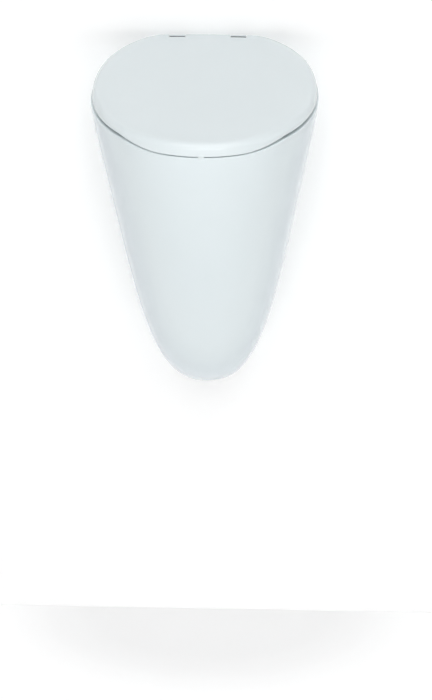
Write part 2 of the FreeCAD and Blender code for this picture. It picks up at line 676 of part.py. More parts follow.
# ---- water inlet ----------------------------------------------------------------------------
def inlet_parts():
    wall_end = V(0, 0, INLET_LEVEL)
    inside = V(0, -BACK_WALL, INLET_LEVEL)
    seal = rod(INLET_HOLE_R, wall_end, OUT_OF_WALL, BACK_WALL)
    seal = seal.fuse(rod(INLET_FLANGE_R, inside, OUT_OF_WALL, INLET_FLANGE_THICK))
    seal_end = BACK_WALL + INLET_FLANGE_THICK
    seal = seal.removeSplitter().cut([rod(INLET_PIPE_R, wall_end, OUT_OF_WALL, INLET_PIPE_DEPTH),
                                      rod(NOZZLE_NECK_R, wall_end, OUT_OF_WALL, seal_end)])
    save("inlet_seal", seal)

    neck_start = V(0, -INLET_PIPE_DEPTH - NOZZLE_SET_BACK, INLET_LEVEL)
    neck = rod(NOZZLE_NECK_R, neck_start, OUT_OF_WALL, seal_end + neck_start.y)
    flange_at = V(0, -seal_end, INLET_LEVEL)
    flange = rod(NOZZLE_DISC_R, flange_at, OUT_OF_WALL, INLET_FLANGE_THICK)
    slot_at = seal_end + INLET_FLANGE_THICK
    ribs = []
    for i in range(NOZZLE_RIB_COUNT):
        rib = block(-NOZZLE_RIB / 2, NOZZLE_RIB / 2, -slot_at - NOZZLE_GAP, -slot_at,
                    NOZZLE_BORE_R, NOZZLE_DISC_R - NOZZLE_RIB)
        rib.translate(V(0, 0, INLET_LEVEL))
        rib.rotate(wall_end, Y_AXIS, 360.0 * (i + 0.5) / NOZZLE_RIB_COUNT)
        ribs.append(rib)
    body = neck.fuse([flange] + ribs).removeSplitter()
    body = body.cut(rod(NOZZLE_BORE_R, neck_start, OUT_OF_WALL, slot_at))
    bridge_reach = NOZZLE_BORE_R + OVERSHOOT
    bridge = block(-bridge_reach, bridge_reach, -slot_at, -slot_at + NOZZLE_RIB,
                   INLET_LEVEL - NOZZLE_CORE_R / 2, INLET_LEVEL + NOZZLE_CORE_R / 2)
    core = rod(NOZZLE_CORE_R, V(0, -slot_at + NOZZLE_RIB, INLET_LEVEL), OUT_OF_WALL,
               NOZZLE_GAP + NOZZLE_RIB)
    face = -slot_at - NOZZLE_GAP
    screw_run = NOZZLE_DISC_THICK + NOZZLE_GAP
    screw = rod(NOZZLE_SCREW_R / 2, V(0, face - NOZZLE_DISC_THICK, INLET_LEVEL), INTO_WALL,
                screw_run)
    save("nozzle_body", body.fuse([bridge, core]).removeSplitter().cut(screw))
    disc = rod(NOZZLE_DISC_R, V(0, face, INLET_LEVEL), OUT_OF_WALL, NOZZLE_DISC_THICK)
    rim = [e for e in disc.Edges if e.BoundBox.YMax < face - NOZZLE_DISC_THICK / 2]
    disc = disc.makeFillet(NOZZLE_DISC_THICK * ROUNDED_SHARE, rim)
    save("nozzle_disc", disc.cut(screw))
    head = rod(NOZZLE_SCREW_R, V(0, face - NOZZLE_DISC_THICK, INLET_LEVEL), OUT_OF_WALL,
               NOZZLE_SCREW_R / 2)
    save("nozzle_screw", screw.fuse(head).removeSplitter())


# ---- drain ----------------------------------------------------------------------------------
def drain_parts():
    axis_at = V(0, DRAIN_Y, BOWL_FLOOR)
    flange_under = WASTE_TOP - WASTE_FLANGE
    tube_top = V(0, DRAIN_Y, WASTE_TOP)
    tube = rod(WASTE_R, tube_top, DOWN, WASTE_TOP - WASTE_END)
    flange = rod(WASTE_FLANGE_R, tube_top, DOWN, WASTE_FLANGE)
    bore = rod(WASTE_BORE_R, tube_top, DOWN, WASTE_TOP - WASTE_END)
    bar = block(-WASTE_R, WASTE_R, DRAIN_Y - STRAINER_BAR, DRAIN_Y + STRAINER_BAR,
                flange_under - SCREW_HEAD_R, WASTE_TOP)
    waste = tube.fuse(flange).cut(bore).fuse(bar.common(bore)).removeSplitter()
    screw = rod(SCREW_R, axis_at, DOWN, STRAINER_THICK + WASTE_FLANGE + SCREW_HEAD_R)
    save("waste_tube", waste.cut(screw))

    plate = rod(STRAINER_R, axis_at, DOWN, STRAINER_THICK)
    holes = []
    for ring, count in STRAINER_RINGS:
        for i in range(count):
            angle = 2 * math.pi * i / count
            spot = V(ring * math.cos(angle), DRAIN_Y + ring * math.sin(angle),
                     BOWL_FLOOR + OVERSHOOT)
            holes.append(rod(STRAINER_HOLE_R, spot, DOWN, STRAINER_THICK + 2 * OVERSHOOT))
    save("strainer", plate.cut(holes + [screw]))
    head = rod(SCREW_HEAD_R, axis_at, Z_AXIS, SCREW_R)
    crest = [e for e in head.Edges if e.BoundBox.ZMin > BOWL_FLOOR + SCREW_R / 2]
    head = head.makeFillet(SCREW_R * ROUNDED_SHARE, crest)
    save("strainer_screw", screw.fuse(head).removeSplitter())

    gasket = pipe(GASKET_R, WASTE_R, V(0, DRAIN_Y, BOWL_UNDERSIDE), DOWN, GASKET_THICK)
    save("waste_gasket", gasket)
    nut_at = V(0, DRAIN_Y, BOWL_UNDERSIDE - GASKET_THICK)
    nut = hexagon(2 * WASTE_NUT_R * math.cos(math.pi / 6), nut_at, DOWN, WASTE_NUT_THICK)
    save("waste_nut", nut.cut(rod(WASTE_R, nut_at, DOWN, WASTE_NUT_THICK)))


# ---- trap and outlet ------------------------------------------------------------------------
def trap_parts():
    top = V(0, DRAIN_Y, TRAP_TOP)
    bottom = V(0, DRAIN_Y, TRAP_END)
    neck_top = TRAP_TOP + TRAP_NECK
    seat = WASTE_R + TRAP_WALL
    shell = rod(TRAP_R, top, DOWN, TRAP_HEIGHT)
    shell = shell.fuse(rod(TRAP_NECK_R, V(0, DRAIN_Y, neck_top), DOWN, TRAP_NECK))
    side_end = -OUTLET_BACK - OUTLET_FREE - OUTLET_SEAL - OUTLET_WALL - COUPLING_GAP
    stub_length = side_end - (DRAIN_Y + TRAP_R / 2)
    stub_at = V(0, DRAIN_Y + TRAP_R / 2, OUTLET_LEVEL)
    shell = shell.fuse(rod(STUB_R, stub_at, INTO_WALL, stub_length)).removeSplitter()
    hollow = rod(TRAP_R - TRAP_WALL, V(0, DRAIN_Y, TRAP_TOP - TRAP_WALL), DOWN, TRAP_HEIGHT)
    passage = rod(OUTLET_TAIL_R, stub_at, INTO_WALL, stub_length)
    neck_bore = rod(seat, V(0, DRAIN_Y, neck_top), DOWN, TRAP_NECK + TRAP_WALL)
    save("trap_body", shell.cut([hollow, passage, neck_bore]))

    lip_top = neck_top + TRAP_SEAL_LIP
    seal = pipe(seat, WASTE_R, V(0, DRAIN_Y, lip_top), DOWN, TRAP_NECK + TRAP_SEAL_LIP)
    lip = pipe(TRAP_NECK_R, WASTE_R, V(0, DRAIN_Y, lip_top), DOWN, TRAP_SEAL_LIP)
    save("trap_neck_seal", seal.fuse(lip).removeSplitter())

    dip_top = V(0, DRAIN_Y, WASTE_END + DIP_OVERLAP)
    dip_length = dip_top.z - (bottom.z + DIP_FROM_BOTTOM)
    dip = pipe(WASTE_R + DIP_WALL, WASTE_R, dip_top, DOWN, dip_length)
    stop = pipe(WASTE_R, WASTE_BORE_R, V(0, DRAIN_Y, WASTE_END), DOWN, DIP_WALL)
    save("dip_tube", dip.fuse(stop).removeSplitter())

    ring = pipe(TRAP_R, TRAP_R - TRAP_WALL, bottom, DOWN, TRAP_CAP_SEAL)
    save("trap_cap_seal", ring)
    cap = rod(TRAP_CAP_R, V(0, DRAIN_Y, TRAP_CAP_END), Z_AXIS, TRAP_CAP_HEIGHT)
    room = rod(TRAP_R, V(0, DRAIN_Y, TRAP_CAP_END + TRAP_WALL), Z_AXIS, TRAP_CAP_HEIGHT)
    ribs = []
    for i in range(TRAP_CAP_RIB_COUNT):
        angle = 2 * math.pi * i / TRAP_CAP_RIB_COUNT
        spot = V(TRAP_CAP_R * math.cos(angle), DRAIN_Y + TRAP_CAP_R * math.sin(angle),
                 TRAP_CAP_END)
        ribs.append(rod(TRAP_CAP_RIB_R, spot, Z_AXIS, TRAP_CAP_HEIGHT))
    save("trap_cap", cap.fuse(ribs).removeSplitter().cut(room))

    tail_start = V(0, side_end - OUTLET_NUT, OUTLET_LEVEL)
    free_start = V(0, -OUTLET_BACK - OUTLET_FREE, OUTLET_LEVEL)
    tail = rod(OUTLET_TAIL_R, tail_start, INTO_WALL, free_start.y - tail_start.y)
    spigot = tail.fuse(rod(OUTLET_R, free_start, INTO_WALL, OUTLET_FREE))
    bore_length = -OUTLET_BACK - tail_start.y
    save("outlet_spigot", spigot.cut(rod(OUTLET_R - OUTLET_WALL, tail_start, INTO_WALL,
                                         bore_length)))
    save("outlet_seal", pipe(STUB_R, OUTLET_TAIL_R, V(0, side_end, OUTLET_LEVEL), INTO_WALL,
                             OUTLET_SEAL))
    nut_length = OUTLET_NUT + OUTLET_SEAL + OUTLET_WALL
    nut = rod(OUTLET_NUT_R, tail_start, INTO_WALL, nut_length)
    nut_room = rod(STUB_R, tail_start, INTO_WALL, OUTLET_NUT + OUTLET_SEAL)
    tail_hole = rod(OUTLET_TAIL_R, tail_start, INTO_WALL, nut_length)
    save("outlet_nut", nut.cut([nut_room, tail_hole]))


os.makedirs("parts", exist_ok=True)
save("ceramic_body", ceramic_body())
lid_parts()
hinge_parts()
fixing_parts()
inlet_parts()
drain_parts()
trap_parts()
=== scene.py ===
# %% [markdown]
# A wall hung urinal with a hinged lid, dressed for a studio picture.
#
# The real object is one piece of glazed vitreous china that tapers to a rounded foot, with a
# moulded plastic lid on two slim hinges. Behind and inside it sit a flush spreader, a drain
# cover, a bottle trap and the wall fixings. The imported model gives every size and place. This
# lesson builds the two large glossy skins again as clean quad meshes, because gloss shows every
# facet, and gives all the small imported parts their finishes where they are.

# %% Load the frame
import json
import math

import bpy
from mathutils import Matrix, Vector


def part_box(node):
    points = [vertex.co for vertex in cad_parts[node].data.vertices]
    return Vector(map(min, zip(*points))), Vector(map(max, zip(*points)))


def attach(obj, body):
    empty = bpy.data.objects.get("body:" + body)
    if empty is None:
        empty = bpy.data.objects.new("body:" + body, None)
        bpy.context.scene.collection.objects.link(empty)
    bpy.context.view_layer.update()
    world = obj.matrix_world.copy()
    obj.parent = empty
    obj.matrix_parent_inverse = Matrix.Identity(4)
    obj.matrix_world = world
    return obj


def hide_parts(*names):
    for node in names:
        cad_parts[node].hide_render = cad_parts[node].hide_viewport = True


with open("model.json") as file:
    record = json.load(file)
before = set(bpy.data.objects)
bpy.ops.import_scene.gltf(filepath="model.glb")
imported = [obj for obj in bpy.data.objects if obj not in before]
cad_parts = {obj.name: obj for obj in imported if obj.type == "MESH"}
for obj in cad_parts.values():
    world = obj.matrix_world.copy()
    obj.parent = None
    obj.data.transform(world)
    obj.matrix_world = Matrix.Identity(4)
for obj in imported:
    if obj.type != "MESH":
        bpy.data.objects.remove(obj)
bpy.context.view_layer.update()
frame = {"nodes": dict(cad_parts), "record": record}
nodes = frame["nodes"]

# %% [markdown]
# Sizes come first. They are the real ones, in metres, and match the solids. The body is a stack
# of level sections that all have one plan, stretched to their own width and depth, so a few
# numbers for how fast the sides and the front draw in give the whole form. Levels are heights
# over the wall fixings, and a reach is a distance out from the wall.

# %% Sizes of the china body
MM = 0.001
# The outside: its size, its plan, and how the sides and the front draw in down to the foot.
WIDTH = 322 * MM
DEPTH = 342 * MM
RIM_LEVEL = 25 * MM
FOOT_LEVEL = -490.4 * MM
FOOT_END = -488 * MM
WIDEST_AT = 0.5
FRONT_POWER = 2.1
BACK_POWER = 2.2
WALL_SHARE = 0.55
SIDE_TAPER = 0.574
SIDE_SWELL = 0.155
SIDE_POWER = 4.872
FRONT_TAPER = 0.68
FRONT_TAPER_POWER = 1.25
FRONT_POWER_DOWN = 14.0
TAPER_SOFTNESS = 0.04

# The rim: a level deck for the hinges, a slope, and a small step in it near the front.
DECK_LEVEL = 68.2 * MM
DECK_REACH = 40 * MM
TILT = math.radians(8.5)
SLOPE = math.tan(TILT)
STEP_FRONT = DEPTH - 14 * MM
STEP_BACK = STEP_FRONT - 32 * MM
STEP_DROP = 10.2 * MM

# The walls, and the shelf over the back of the bowl.
RIM_WIDTH = 26 * MM
WALL = 11 * MM
BACK_WALL = 14 * MM
SHELF_REACH = 58 * MM
SHELF_THICK = 14 * MM

# The bowl, its domed floor, and what closes the body behind and below.
BOWL_BEND = -95 * MM
BOWL_FLOOR = -201.7 * MM
BOWL_POWER = 2.3
DOME_END = 76.0
BACK_CLOSED_TO = -226 * MM
FOOT_WALL = 13 * MM
# How much of the rim's width stands in at a level: 1 is all of it, 0 only the wall.
BOWL_FLARE = ((98.2 * MM, 1.0), (60 * MM, 1.0), (20 * MM, 0.87), (-20 * MM, 0.47),
              (-60 * MM, 0.13), (BOWL_BEND, 0.07))

strainer_low, strainer_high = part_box("strainer")
DRAIN_Y = (strainer_low[1] + strainer_high[1]) / 2
print("the drain stands", round(-DRAIN_Y / MM, 2), "mm out from the wall")

# %% The body's form
def taper_share(z):
    """0 at the rim and 1 at the tip of the foot, eased in at the rim."""
    t = (RIM_LEVEL - z) / (RIM_LEVEL - FOOT_LEVEL)
    return 0.5 * (t + math.sqrt(t * t + TAPER_SOFTNESS ** 2 * (1 - max(t, 0.0))))


def half_width(z):
    u = taper_share(z)
    return WIDTH / 2 * (1 - SIDE_TAPER * u + SIDE_SWELL * u * u) * math.sqrt(1 - u ** SIDE_POWER)


def depth_at(z):
    u = taper_share(z)
    drawn_back = FRONT_TAPER * u ** FRONT_TAPER_POWER
    return DEPTH * (1 - drawn_back) * math.sqrt(1 - u ** FRONT_POWER_DOWN)


def plan_share(q, wall_share):
    """Half width at depth share q, as a share of the widest."""
    if q >= WIDEST_AT:
        u = min((q - WIDEST_AT) / (1 - WIDEST_AT), 1.0)
        return max(1 - u ** FRONT_POWER, 0.0) ** (1 / FRONT_POWER)
    reach = WIDEST_AT / (1 - wall_share ** BACK_POWER) ** (1 / BACK_POWER)
    return (1 - ((WIDEST_AT - q) / reach) ** BACK_POWER) ** (1 / BACK_POWER)


print("half width at the rim", round(half_width(RIM_LEVEL) / MM, 1), "mm")

# %% [markdown]
# The rim isn't level. It is flat where the hinges stand, slopes down to the front, and drops a
# little faster just before the front. Straight pieces would leave creases in the gloss, so each
# change of slope is eased over a millimetre or two.

# %% The rim's height
KINK_EASE = 1 * MM


def eased(x):
    """0 below zero and x above it, with a soft turn between."""
    return 0.5 * (x + math.sqrt(x * x + KINK_EASE * KINK_EASE))


def rim_height(out):
    """Height of the rim at a distance out from the wall."""
    extra = STEP_DROP / (STEP_FRONT - STEP_BACK) - SLOPE
    fall = SLOPE * eased(out - DECK_REACH)
    fall += extra * (eased(out - STEP_BACK) - eased(out - STEP_FRONT))
    return DECK_LEVEL - fall


def bowl_inset(z):
    """Distance of the bowl's face from the outside, in a straight run from level to level."""
    z = min(max(z, BOWL_BEND), BOWL_FLARE[0][0])
    for (high, a), (low, b) in zip(BOWL_FLARE, BOWL_FLARE[1:]):
        if z >= low:
            t = (high - z) / (high - low)
            flare = a + (b - a) * t
            return WALL + (RIM_WIDTH - WALL) * flare
    return WALL


print("rim falls", round((rim_height(0) - rim_height(DEPTH)) / MM, 1), "mm to the front")

# %% [markdown]
# A skin is drawn the way a potter's profile is: one closed ring of points is laid on each level,
# and the rings are joined. In Blender that is a filled circle, extruded once for each further
# ring, with every ring then laid in its place. The columns keep their number from ring to ring,
# so the mesh is all long clean quads, which reflect without ripples.

# %% Points at even steps
TINY = 1e-12


def evenly_spaced(values, span, steps):
    """Values an equal run apart, where span(a, b) is the run between two neighbours."""
    run = [0.0]
    for a, b in zip(values, values[1:]):
        run.append(run[-1] + span(a, b))
    spaced = []
    k = 0
    for i in range(steps + 1):
        target = run[-1] * i / steps
        while k < len(run) - 2 and run[k + 1] < target:
            k += 1
        t = (target - run[k]) / max(run[k + 1] - run[k], TINY)
        spaced.append(values[k] + (values[k + 1] - values[k]) * min(t, 1.0))
    return spaced


def closed_outline(right, back_columns):
    """Adds the mirrored left side and the straight back to the right side of an outline."""
    left = [Vector((-p[0], *p[1:])) for p in reversed(right[:-1])]
    points = right + left
    a, b = points[-1], points[0]
    return points + [a.lerp(b, i / back_columns) for i in range(1, back_columns)]


def quarter_round(count, first=1):
    """The turns of a quarter round in even steps. The last one is a right angle."""
    return [math.pi / 2 * i / count for i in range(first, count + 1)]


print("quarter round", [round(math.degrees(a)) for a in quarter_round(3)], "degrees")

# %% Rings of the body
FRONT_COLUMNS = 150
BACK_COLUMNS = 40
SETTLING_ROUNDS = 4


def front_shares():
    """Depth shares that space the points of the front curve evenly, from the wall outwards."""
    fine = FRONT_COLUMNS * 8
    dense = [0.5 * (1 - math.cos(math.pi * i / fine)) for i in range(fine + 1)]

    def span(a, b):
        across = (plan_share(b, WALL_SHARE) - plan_share(a, WALL_SHARE)) * WIDTH / 2
        return math.hypot(across, (b - a) * DEPTH)

    return evenly_spaced(dense, span, FRONT_COLUMNS // 2)


FRONT_SHARES = front_shares()


def ring(height, inset, back):
    """One ring of the body: the front curve from right to left, then the straight back.

    The height may depend on the distance out, which depends on the depth at that height, so
    each point is settled in a few rounds.
    """
    right = []
    for share in FRONT_SHARES:
        z = height(0.0)
        for _ in range(SETTLING_ROUNDS):
            depth = depth_at(z) - inset(z)
            q = back / depth + (1 - back / depth) * share
            z = height(q * depth)
        half = half_width(z) - inset(z)
        right.append(Vector((half * plan_share(q, WALL_SHARE), -q * depth, z)))
    return closed_outline(right, BACK_COLUMNS)


def soften_corner(points, corner, reach):
    """Rounds one back corner of a ring over reach, on each side of it."""
    runs = {corner: 0.0}
    ends = {}
    for step in (1, -1):
        travelled = 0.0
        i = corner
        while travelled < reach:
            j = (i + step) % len(points)
            travelled += (points[j] - points[i]).length
            i = j
            runs[i] = step * travelled
        ends[step] = points[i].copy(), travelled
    after, after_run = ends[1]
    before, before_run = ends[-1]
    middle = points[corner].copy()
    for i, run in runs.items():
        t = (run + before_run) / (before_run + after_run)
        points[i] = before * (1 - t) ** 2 + middle * 2 * t * (1 - t) + after * t * t


def softened(points, reach):
    """Rounds both back corners of a ring."""
    soften_corner(points, 0, reach)
    soften_corner(points, FRONT_COLUMNS, reach)
    return points


print("points on a ring", FRONT_COLUMNS + BACK_COLUMNS)

# %% A skin through rings
RING_STEP = 1 * MM
MERGE_WITHIN = MM / 1000


def select_only(piece=None):
    """Leaves edit mode and selects this piece alone, or nothing."""
    if bpy.context.object and bpy.context.object.mode != "OBJECT":
        bpy.ops.object.mode_set(mode="OBJECT")
    bpy.ops.object.select_all(action="DESELECT")
    if piece:
        bpy.context.view_layer.objects.active = piece
        piece.select_set(True)


def skin(name, rings):
    """A closed mesh through rings that all have the same number of points.

    Each extrusion stands a step higher than the one before it, so a point's height tells its
    ring and its bearing tells its column.
    """
    select_only()
    count = len(rings[0])
    bpy.ops.mesh.primitive_circle_add(vertices=count, radius=WIDTH / 2, fill_type="NGON")
    piece = bpy.context.object
    piece.name = name
    piece.data.name = name
    bpy.ops.object.mode_set(mode="EDIT")
    bpy.ops.mesh.select_mode(type="FACE")
    bpy.ops.mesh.select_all(action="SELECT")
    for _ in rings[1:]:
        bpy.ops.mesh.extrude_region_move(TRANSFORM_OT_translate={"value": (0, 0, RING_STEP)})
    bpy.ops.object.mode_set(mode="OBJECT")
    start = math.atan2(piece.data.vertices[0].co.y, piece.data.vertices[0].co.x)
    for v in piece.data.vertices:
        row = round(v.co.z / RING_STEP)
        bearing = math.atan2(v.co.y, v.co.x) - start
        column = round(-bearing / (2 * math.pi / count)) % count
        v.co = rings[row][column]
    face_outwards(piece)
    return piece


def face_outwards(piece):
    """Merges the points that lie together and turns every face outwards."""
    select_only(piece)
    bpy.ops.object.mode_set(mode="EDIT")
    bpy.ops.mesh.select_all(action="SELECT")
    bpy.ops.mesh.remove_doubles(threshold=MERGE_WITHIN)
    bpy.ops.mesh.normals_make_consistent(inside=False)
    bpy.ops.object.mode_set(mode="OBJECT")


print("skins merge points within", MERGE_WITHIN / MM, "mm")

# %% [markdown]
# What is cut out of a skin or joined to it is a block or a round bar, by an exact Boolean. A
# finished piece is shaded smooth, but not across an edge that turns more than a curve does from
# face to face.

# %% Cut, join and smooth
LARGE_HOLE_SIDES = 96
SMALL_HOLE_SIDES = 48
SHARP_FROM = math.radians(32)


def combine(piece, tool, operation):
    """Cuts a tool away from a piece, or adds it, and takes the tool away."""
    select_only(piece)
    step = piece.modifiers.new(operation.lower(), "BOOLEAN")
    step.operation = operation
    step.solver = "EXACT"
    step.object = tool
    bpy.ops.object.modifier_apply(modifier=step.name)
    bpy.data.objects.remove(tool, do_unlink=True)
    return piece


def bar_block(name, low, high):
    """A plain block between two corners, used only to cut or to join."""
    select_only()
    middle = [(a + b) / 2 for a, b in zip(low, high)]
    bpy.ops.mesh.primitive_cube_add(size=1, location=middle)
    block = bpy.context.object
    block.name = name
    block.scale = [b - a for a, b in zip(low, high)]
    bpy.ops.object.transform_apply(location=True, rotation=True, scale=True)
    return block


def round_bar(name, radius, start, end, sides=LARGE_HOLE_SIDES):
    """A round bar between two points, used only to cut or to join."""
    select_only()
    start, end = Vector(start), Vector(end)
    turn = (end - start).to_track_quat("Z", "Y").to_euler()
    bpy.ops.mesh.primitive_cylinder_add(vertices=sides, radius=radius, rotation=turn,
                                        depth=(end - start).length, location=(start + end) / 2)
    bar = bpy.context.object
    bar.name = name
    bpy.ops.object.transform_apply(location=True, rotation=True, scale=True)
    return bar


def smooth_faces(piece):
    """Shades a piece smooth, except over its real edges."""
    select_only(piece)
    bpy.ops.object.shade_smooth_by_angle(angle=SHARP_FROM)
    print(piece.name, "faces", len(piece.data.polygons))


print("edges stay sharp from", round(math.degrees(SHARP_FROM)), "degrees")

# %% [markdown]
# The china body is one skin from the tip of the foot, up the outside, over the rounded rim and
# down into the bowl. Fired glaze has no sharp edges, so the rim turns over in two soft rounds,
# and the corners of the bowl are eased. The shelf that carries the hinges reaches over the back
# of the bowl, which is why some rings draw in to its front edge and then go back under it.

# %% Rings of the china body
TIP_FROM = -484 * MM
ROUNDING_FROM = -385 * MM
SIDES_FROM = -30 * MM
RIM_EDGE = 1.5 * MM
BOWL_EDGE = 4.3 * MM
NOSE = 7 * MM
SHELF_FALL = 3 * MM
SHELF_FALL_REACH = 20 * MM
BOWL_CORNER = 16 * MM
RIM_CORNER = BOWL_CORNER * 0.7
ROUND_ROWS = 5
# Rings that close the tip, as shares of its last full ring.
TIP_SHARES = (0.12, 0.35, 0.58, 0.8)
# Upper rings of the bowl's outside, behind the wall of the service space.
BOWL_OUTSIDE_LEVELS = (-60 * MM, -78 * MM, BOWL_BEND)


def constant(value):
    return lambda _: value


def outside_rings():
    """From the tip of the foot up to the rim's outer edge."""
    rings = []
    tip = ring(constant(TIP_FROM), constant(0.0), 0.0)
    middle = Vector((0, -depth_at(TIP_FROM) / 2, 0))
    for share in TIP_SHARES:
        level = FOOT_END + (TIP_FROM - FOOT_END) * share * share
        rings.append([Vector((middle.x + (p.x - middle.x) * share,
                              middle.y + (p.y - middle.y) * share, level)) for p in tip])
    rounding = 16
    for i in range(rounding):
        down = math.cos(math.pi / 2 * i / rounding)
        rings.append(ring(constant(ROUNDING_FROM + (TIP_FROM - ROUNDING_FROM) * down),
                          constant(0.0), 0.0))
    sides = 20
    for i in range(sides):
        level = ROUNDING_FROM + (SIDES_FROM - ROUNDING_FROM) * i / sides
        rings.append(ring(constant(level), constant(0.0), 0.0))
    upper = 14
    for i in range(upper + 1):
        t = i / upper
        rings.append(ring(lambda out, t=t: SIDES_FROM + (rim_height(out) - RIM_EDGE
                                                         - SIDES_FROM) * t,
                          constant(0.0), 0.0))
    return rings


def rim_rings():
    """Over the rim's outer round and across its top."""
    rings = []
    for a in quarter_round(ROUND_ROWS):
        inset = RIM_EDGE * (1 - math.cos(a))
        drop = RIM_EDGE * (1 - math.sin(a))
        rings.append(ring(lambda out, d=drop: rim_height(out) - d, constant(inset), inset))
    across = 8
    edge_back = SHELF_REACH - BOWL_EDGE
    for i in range(1, across + 1):
        t = i / across
        back = RIM_EDGE + (edge_back - RIM_EDGE) * t
        points = ring(rim_height,
                      lambda z, t=t: RIM_EDGE + (bowl_inset(z) - BOWL_EDGE - RIM_EDGE) * t, back)
        rings.append(softened(points, RIM_CORNER * t))
    return rings


def under_shelf(out):
    """The rim's height, kept level under the shelf."""
    return rim_height(max(out, SHELF_REACH))


def shelf_rings():
    """Down over the inner edge, round the shelf's nose and back under it to the wall."""
    rings = []
    for a in quarter_round(ROUND_ROWS):
        inset = BOWL_EDGE * (1 - math.sin(a))
        drop = BOWL_EDGE * (1 - math.cos(a))
        points = ring(lambda out, d=drop: rim_height(out) - d,
                      lambda z, e=inset: bowl_inset(z) - e, SHELF_REACH - inset)
        rings.append(softened(points, RIM_CORNER))
    for a in quarter_round(ROUND_ROWS):
        back = SHELF_REACH - NOSE * (1 - math.cos(a))
        drop = BOWL_EDGE + NOSE * math.sin(a)
        points = ring(lambda out, d=drop: under_shelf(out) - d, bowl_inset, back)
        rings.append(softened(points, RIM_CORNER))
    rows = 5
    for i in range(1, rows + 1):
        back = SHELF_REACH - NOSE + (BACK_WALL - SHELF_REACH + NOSE) * i / rows
        lower = SHELF_FALL * i / rows

        def height(out, lower=lower):
            forward = min(max((out - SHELF_REACH) / SHELF_FALL_REACH, 0.0), 1.0)
            return under_shelf(out) - BOWL_EDGE - NOSE - lower * forward

        rings.append(softened(ring(height, bowl_inset, back), RIM_CORNER))
    return rings


def bowl_rings(grow, top_rings):
    """Rings from under the shelf down the bowl, or down its outside with grow."""
    rings = []
    back = BACK_WALL - grow
    if top_rings:
        rows = 16
        start = BOWL_EDGE + NOSE + SHELF_FALL
        for i in range(1, rows + 1):
            t = i / rows
            rings.append(softened(ring(
                lambda out, t=t: (under_shelf(out) - start) * (1 - t) + BOWL_BEND * t,
                bowl_inset, back), BOWL_CORNER))
    else:
        for level in BOWL_OUTSIDE_LEVELS:
            rings.append(ring(constant(level), lambda z: bowl_inset(z) - grow, back))
    bend = rings[-1]
    fall = (BOWL_BEND - BOWL_FLOOR + grow) / math.sin(math.radians(DOME_END))
    rows = 18
    for i in range(1, rows + 1):
        share = math.sin(math.radians(DOME_END * i / rows))
        scale = (1 - share ** BOWL_POWER) ** (1 / BOWL_POWER)
        rings.append([Vector((p.x * scale, DRAIN_Y + (p.y - DRAIN_Y) * scale,
                              BOWL_BEND - fall * share)) for p in bend])
    return rings


print("bowl", round((rim_height(SHELF_REACH) - BOWL_FLOOR) / MM, 1), "mm deep at the shelf")

# %% Skin of the china body
china = skin("china_body", outside_rings() + rim_rings() + shelf_rings() + bowl_rings(0.0, True))
print("rings closed,", len(china.data.vertices), "points")

# %% [markdown]
# The real body is open behind, where the trap hangs and the fitter's hand goes in. That hollow is
# cut out of the skin with a form of its own: the body's sections drawn in by the wall, less the
# outside of the bowl and less the closed part of the back. Then come the holes for the flush
# pipe, the wall studs, the drain and the hinge studs, all in flat places of the china.

# %% Cut the service space and the holes
SIDES_TO = -330 * MM
INLET_HOLE_R = 20 * MM
INLET_LEVEL = 20 * MM
FIXING_X = 60 * MM
FIXING_HOLE_R = 6 * MM
DRAIN_HOLE_R = 24 * MM
DRAIN_RECESS_R = 36 * MM
DRAIN_RECESS = 4 * MM
HINGE_X = 45.5 * MM
STUD_Y = -29 * MM
STUD_HOLE_R = 6.5 * MM
PAST = 2 * MM
FAR = 400 * MM


def service_space():
    """The hollow behind the bowl, as a form to cut with."""
    rows = 14
    top = BOWL_BEND + WALL
    bottom = FOOT_LEVEL + FOOT_WALL
    levels = [top + (SIDES_TO - top) * i / rows for i in range(rows)]
    levels += [SIDES_TO + (bottom - SIDES_TO) * math.sin(a) for a in quarter_round(rows, 0)]
    rings = [ring(constant(level), constant(WALL), -PAST) for level in levels]
    space = skin("service_space", rings)
    combine(space, skin("bowl_outside", bowl_rings(WALL, False)), "DIFFERENCE")
    closed = bar_block("closed_back", (-FAR, -BACK_WALL, BACK_CLOSED_TO), (FAR, FAR, FAR))
    return combine(space, closed, "DIFFERENCE")


combine(china, service_space(), "DIFFERENCE")
cutters = [round_bar("inlet_hole", INLET_HOLE_R, (0, -BACK_WALL - PAST, INLET_LEVEL),
                     (0, PAST, INLET_LEVEL)),
           round_bar("recess", DRAIN_RECESS_R, (0, DRAIN_Y, BOWL_FLOOR + PAST),
                     (0, DRAIN_Y, BOWL_FLOOR - DRAIN_RECESS)),
           round_bar("drain_hole", DRAIN_HOLE_R, (0, DRAIN_Y, BOWL_FLOOR + PAST),
                     (0, DRAIN_Y, BOWL_FLOOR - WALL - PAST))]
for side in (-1, 1):
    cutters.append(round_bar("fixing_hole", FIXING_HOLE_R, (side * FIXING_X, -BACK_WALL - PAST, 0),
                             (side * FIXING_X, PAST, 0), SMALL_HOLE_SIDES))
    cutters.append(round_bar("stud_hole", STUD_HOLE_R, (side * HINGE_X, STUD_Y, DECK_LEVEL + PAST),
                             (side * HINGE_X, STUD_Y, DECK_LEVEL - SHELF_THICK - PAST),
                             SMALL_HOLE_SIDES))
for cutter in cutters:
    combine(china, cutter, "DIFFERENCE")
smooth_faces(china)
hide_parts("ceramic_body")
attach(china, "urinal")

# %% [markdown]
# The lid is one moulding: a gently crowned top, a generous round all the way to an upright skirt,
# and a hollow underside. Its plan is the body's, a little smaller, with large round back corners.
# It is made as one closed skin that starts in the middle of the top, runs out and down the skirt,
# turns under its lower edge and comes back up inside. The seam over the rim is narrow in front
# and wider along the sides, and at the back the edge ends level over the deck.

